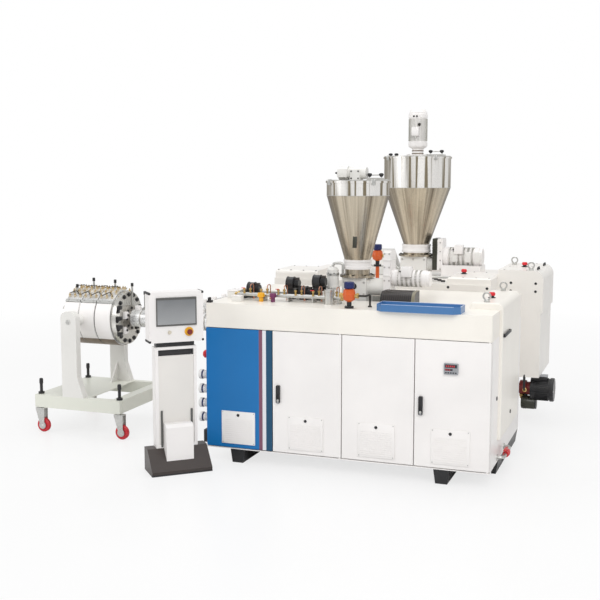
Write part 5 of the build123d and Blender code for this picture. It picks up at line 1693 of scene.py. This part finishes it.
@dataclass(frozen=True)
class Trolley:
    """The trolley under the die head, with its jacks and castors."""

    jack_x: tuple[float, float] = (-3592.5, -2887.5)
    jack_y: tuple[float, float] = (309.5, 990.5)
    beam_top: float = 300

    def build(self) -> None:
        """Dresses the trolley and adds its fittings."""
        dress(TROLLEY_GREEN, "trolley_frame")
        dress(BLACK, "jack_screws")
        for number in range(1, 5):
            self.castor(number)
        self.seams()
        self.jacks()

    def seams(self) -> None:
        """Adds the weld seams to the frame's ends."""
        box = Extent.of("trolley_frame")
        wide, deep, high = box.sides
        seams = Piece("trolley_weld_seams", TROLLEY_GREEN)
        for near, far in ((-2.5, 0.5), (wide - 0.5, wide + 2.5)):
            for y in (50, deep - 50):
                seams.block(box.low, (near, y - 4, high - 94), (far, y + 4, high - 4), 1)

    def jacks(self) -> None:
        """Adds threads, nuts and grips to the jacks."""
        threads, grips = Piece("jack_threads", DARK_STEEL), Piece("jack_grips", BLACK_PLASTIC)
        for x in self.jack_x:
            for y in self.jack_y:
                spot = at(x, y, self.beam_top)
                threads.ribs(off(spot, 0, 0, 4), UP, 22, 3.4, 10.5, 1.5, 18)
                threads.boss(17, 12, spot, UP, 6)
                grips.solid(((13, 78), (15, 84), (15, 112), (12, 122), (0, 124)), spot, UP, 20)

    def castor(self, number: int) -> None:
        """Dresses one castor and adds its wheel's hub discs and its axle's nuts.

        Args:
            number: Which castor, 1 to 4.
        """
        dress(ZINC, f"castor_fork_{number}")
        dress(RED_TYRE, f"castor_wheel_{number}")
        fork, wheel = Extent.of(f"castor_fork_{number}"), Extent.of(f"castor_wheel_{number}")
        radius = wheel.sides.z / 2
        hub = Piece(f"castor_hub_{number}", ZINC, f"wheel_{number}")
        axle = Piece(f"castor_axle_{number}", BRIGHT_STEEL, f"castor_{number}")
        for side, facing in ((0, FRONT), (1, BACK)):
            disc = ((radius * 0.55, -2), (radius * 0.52, 0.8), (radius * 0.20, 1.2))
            hub.solid(disc, wheel.at(0.5, side, 0.5), facing, 32)
            spot = wheel.at(0.5, 0.5, 0.5)
            spot.y = fork.at(0, side, 0).y + (1 - 2 * side) * MM
            axle.boss(9, 6, spot, facing, 6)


@dataclass(frozen=True)
class Console:
    """The operator's console, worked on in its own frame that faces -Y."""

    turn: float = math.radians(42.3)

    def build(self) -> None:
        """Dresses the console and adds its fittings."""
        dress(WHITE, "console_column console_box")
        dress(BROWN_BLACK, "console_base")
        screen, middle = Extent.of("console_screen"), Extent.of("console_box").at(0.5, 0.5, 0)
        dress(ScreenFace("screen_face", "screen_face", screen.low.z, screen.high.z), "console_screen")
        place = Matrix.Translation((middle.x, middle.y, 0.0)) @ Matrix.Rotation(self.turn, 4, "Z")
        self.trim(place)
        self.buttons(place)
        self.doors(place)

    def trim(self, place: Matrix) -> None:
        """Adds the front panel, strips, sleeve, bezel and buffers.

        Args:
            place: The matrix from the console's own frame to the station's.
        """
        rails = (((x - 7, -33.5, 165), (x + 7, -20, 420)) for x in (-105.5, 105.5))
        ends = (184, 1227), (184, 900), (-184, 900), (-184, 1227)
        buffers = (((x - 8, -58, z - 8), (x + 8, 58, z + 8)) for x, z in ends)
        bezel = (
            ((-140, -63.5, 1182), (140, -55.5, 1198)),
            ((-140, -62.5, 1008), (-132, -55.5, 1190)),
            ((132, -62.5, 1008), (140, -55.5, 1190)),
            ((-140, -62.5, 1004), (140, -55.5, 1014)),
        )
        for name, finish, soft, *boxes in (
            ("console_front_panel", BEIGE_GREY, 1, ((-123.2, -25.5, 182), (123.2, -21.5, 795))),
            ("console_rail_strips", DARK_GREY, 2, *rails),
            ("console_sleeve", BLACK, 3, ((-132.5, -19.5, 857), (132.5, 49, 891.5))),
            ("console_arch_lining", BLACK, 1, ((-122.5, -14, 797), (122.5, -6.5, 837))),
            ("screen_bezel", DARK_GREY, 2, *bezel),
            ("console_corner_buffers", BLACK_PLASTIC, 4, *buffers),
            ("console_base_edge", BLACK, 2, ((-211.2, -161.5, 0), (211.2, -145, 12))),
        ):
            Piece(name, finish, turn=place).blocks(ORIGIN, soft, *boxes)

    def buttons(self, place: Matrix) -> None:
        """Adds the push button and the stop button with its yellow plate.

        Args:
            place: The matrix from the console's own frame to the station's.
        """
        left, right = off(ORIGIN, -48.88, -55.5, 960.6), off(ORIGIN, 86.48, -55.5, 960.6)
        stop = ((10, 4), (10, 14), (18, 18), (19, 26), (15, 31), (0, 32))
        for name, finish, spot, steps, outline in (
            ("console_push_button", BEIGE_PLASTIC, left, 28, ((13, 0), (13, 4), (10, 6), (10, 12), (0, 13))),
            ("console_stop_plate", YELLOW_PLASTIC, right, 40, ((31, 0), (31, 3), (28, 5))),
            ("console_stop_button", DARK_RED, right, 36, stop),
        ):
            Piece(name, finish, turn=place).solid(outline, spot, FRONT, steps)

    def doors(self, place: Matrix) -> None:
        """Adds the two doors on the back and their locks.

        Args:
            place: The matrix from the console's own frame to the station's.
        """
        doors = ((-127, 59, 200), (127, 63, 780)), ((-168, 54, 912), (168, 58, 1215))
        Piece("console_back_door", WHITE, turn=place).blocks(ORIGIN, 2, *doors)
        locks = Piece("console_back_locks", BLACK_PLASTIC, turn=place)
        for x, y, z in ((100, 63, 700), (100, 63, 280), (140, 58, 1060)):
            locks.boss(10, 4, off(ORIGIN, x, y, z), BACK, 24)


@dataclass(frozen=True)
class Studio:
    """Floor, lamps, white surroundings and the camera of the photo's view."""

    camera_from_corner: tuple[float, float, float] = (1016, -6284, 2000)
    azimuth: float = 20.2
    dip: float = 7.0
    lens: float = 60.0
    sky: float = 0.70
    floor_glow: float = 0.72
    floor_reach: float = 30.0

    def build(self) -> None:
        """Sets the camera, the floor and the light."""
        self.camera()
        self.floor()
        self.world()
        self.lamp("key", (4.5, -6.5, 6.5), 4.5, 240.0)
        self.lamp("fill", (-6.0, -5.0, 4.5), 4.0, 120.0)
        self.lamp("top", (0.0, 1.0, 7.5), 6.0, 170.0)

    def show(self, name: str, data: bpy.types.ID) -> bpy.types.Object:
        """Makes an object and links it to the scene.

        Args:
            name: The object's name.
            data: Its mesh, camera or lamp data.

        Returns:
            The object.
        """
        item = bpy.data.objects.new(name, data)
        bpy.context.scene.collection.objects.link(item)
        return item

    def camera(self) -> None:
        """Places the camera where the photo was taken from."""
        lens = bpy.data.cameras.new("photo_view")
        lens.lens, lens.sensor_width = self.lens, 36.0
        item = self.show("photo_view", lens)
        item.location = at(*self.camera_from_corner)
        item.rotation_euler = (math.radians(90 - self.dip), 0.0, math.radians(self.azimuth))
        bpy.context.scene.camera = item

    def floor(self) -> None:
        """Lays a pale floor that carries the station's shadow and fades to the white surroundings."""
        mesh, wide = bpy.data.meshes.new("floor"), self.floor_reach
        corners = [(-wide, -wide, 0), (wide, -wide, 0), (wide, wide, 0), (-wide, wide, 0)]
        mesh.from_pydata(corners, [], [(0, 1, 2, 3)])
        sheet = Sheet("studio_floor")
        cloud = sheet.noise(0.7, 4.0)
        pale = sheet.mix(sheet.span(cloud, 0.0, 1.0), (0.80, 0.80, 0.80), (0.84, 0.84, 0.84))
        sheet.surface(Base_Color=pale, Roughness=sheet.span(cloud, 0.30, 0.36))
        away = sheet.node("VectorMath", sheet.place, operation="LENGTH").outputs["Value"]
        share = sheet.span(away, self.floor_glow, 1.0, 2.5, 8.0)
        seen = sheet.maths("MULTIPLY", sheet.node("LightPath").outputs["Is Camera Ray"], share)
        glow = sheet.node("Emission").outputs["Emission"]
        both = sheet.node("MixShader", seen, sheet.shader.outputs["BSDF"], glow)
        sheet.give(sheet.output.inputs["Surface"], both.outputs["Shader"])
        mesh.materials.append(sheet.material)
        self.show("floor", mesh)

    def world(self) -> None:
        """Makes the surroundings white to the camera and a soft light to everything else."""
        world = bpy.data.worlds.new("studio")
        bpy.context.scene.world = world
        world.use_nodes = True
        sheet = Tree(world.node_tree)
        rays = sheet.node("LightPath").outputs
        seen = sheet.node("Math", rays["Is Camera Ray"], rays["Is Transmission Ray"], operation="MAXIMUM")
        light, white = (sheet.node("Background", (1.0, 1.0, 1.0), power) for power in (self.sky, 1.0))
        both = sheet.node("MixShader", *(node.outputs[0] for node in (seen, light, white)))
        sheet.node("OutputWorld", both.outputs["Shader"])

    def lamp(self, name: str, place: Point, size: float, power: float) -> None:
        """Adds a soft square lamp aimed at the middle of the station.

        Args:
            name: The lamp's name.
            place: Where it stands, in metres.
            size: Side of its face in metres.
            power: Its power in watts.
        """
        light = bpy.data.lights.new(name, "AREA")
        light.shape, light.size, light.energy = "SQUARE", size, power
        item = self.show(name, light)
        item.location = place
        item.rotation_euler = (Vector((0, 0, 0.8)) - Vector(place)).to_track_quat("-Z", "Y").to_euler()


def main() -> None:
    """Builds the studio and every sub-assembly in order, and hangs the pieces on their bodies."""
    bpy.context.scene.view_settings.view_transform = "Standard"
    for part in (Studio, FrontCabinet, DeckGear, Feeders, Hoppers, BackMachine, DieHead, Trolley, Console):
        LOG.info("building %s", part.__name__)
        part().build()
    for piece in PIECES:
        piece.hang()


if __name__ == "__main__":
    logging.basicConfig(level=logging.INFO, format="%(name)s: %(message)s")
    main()
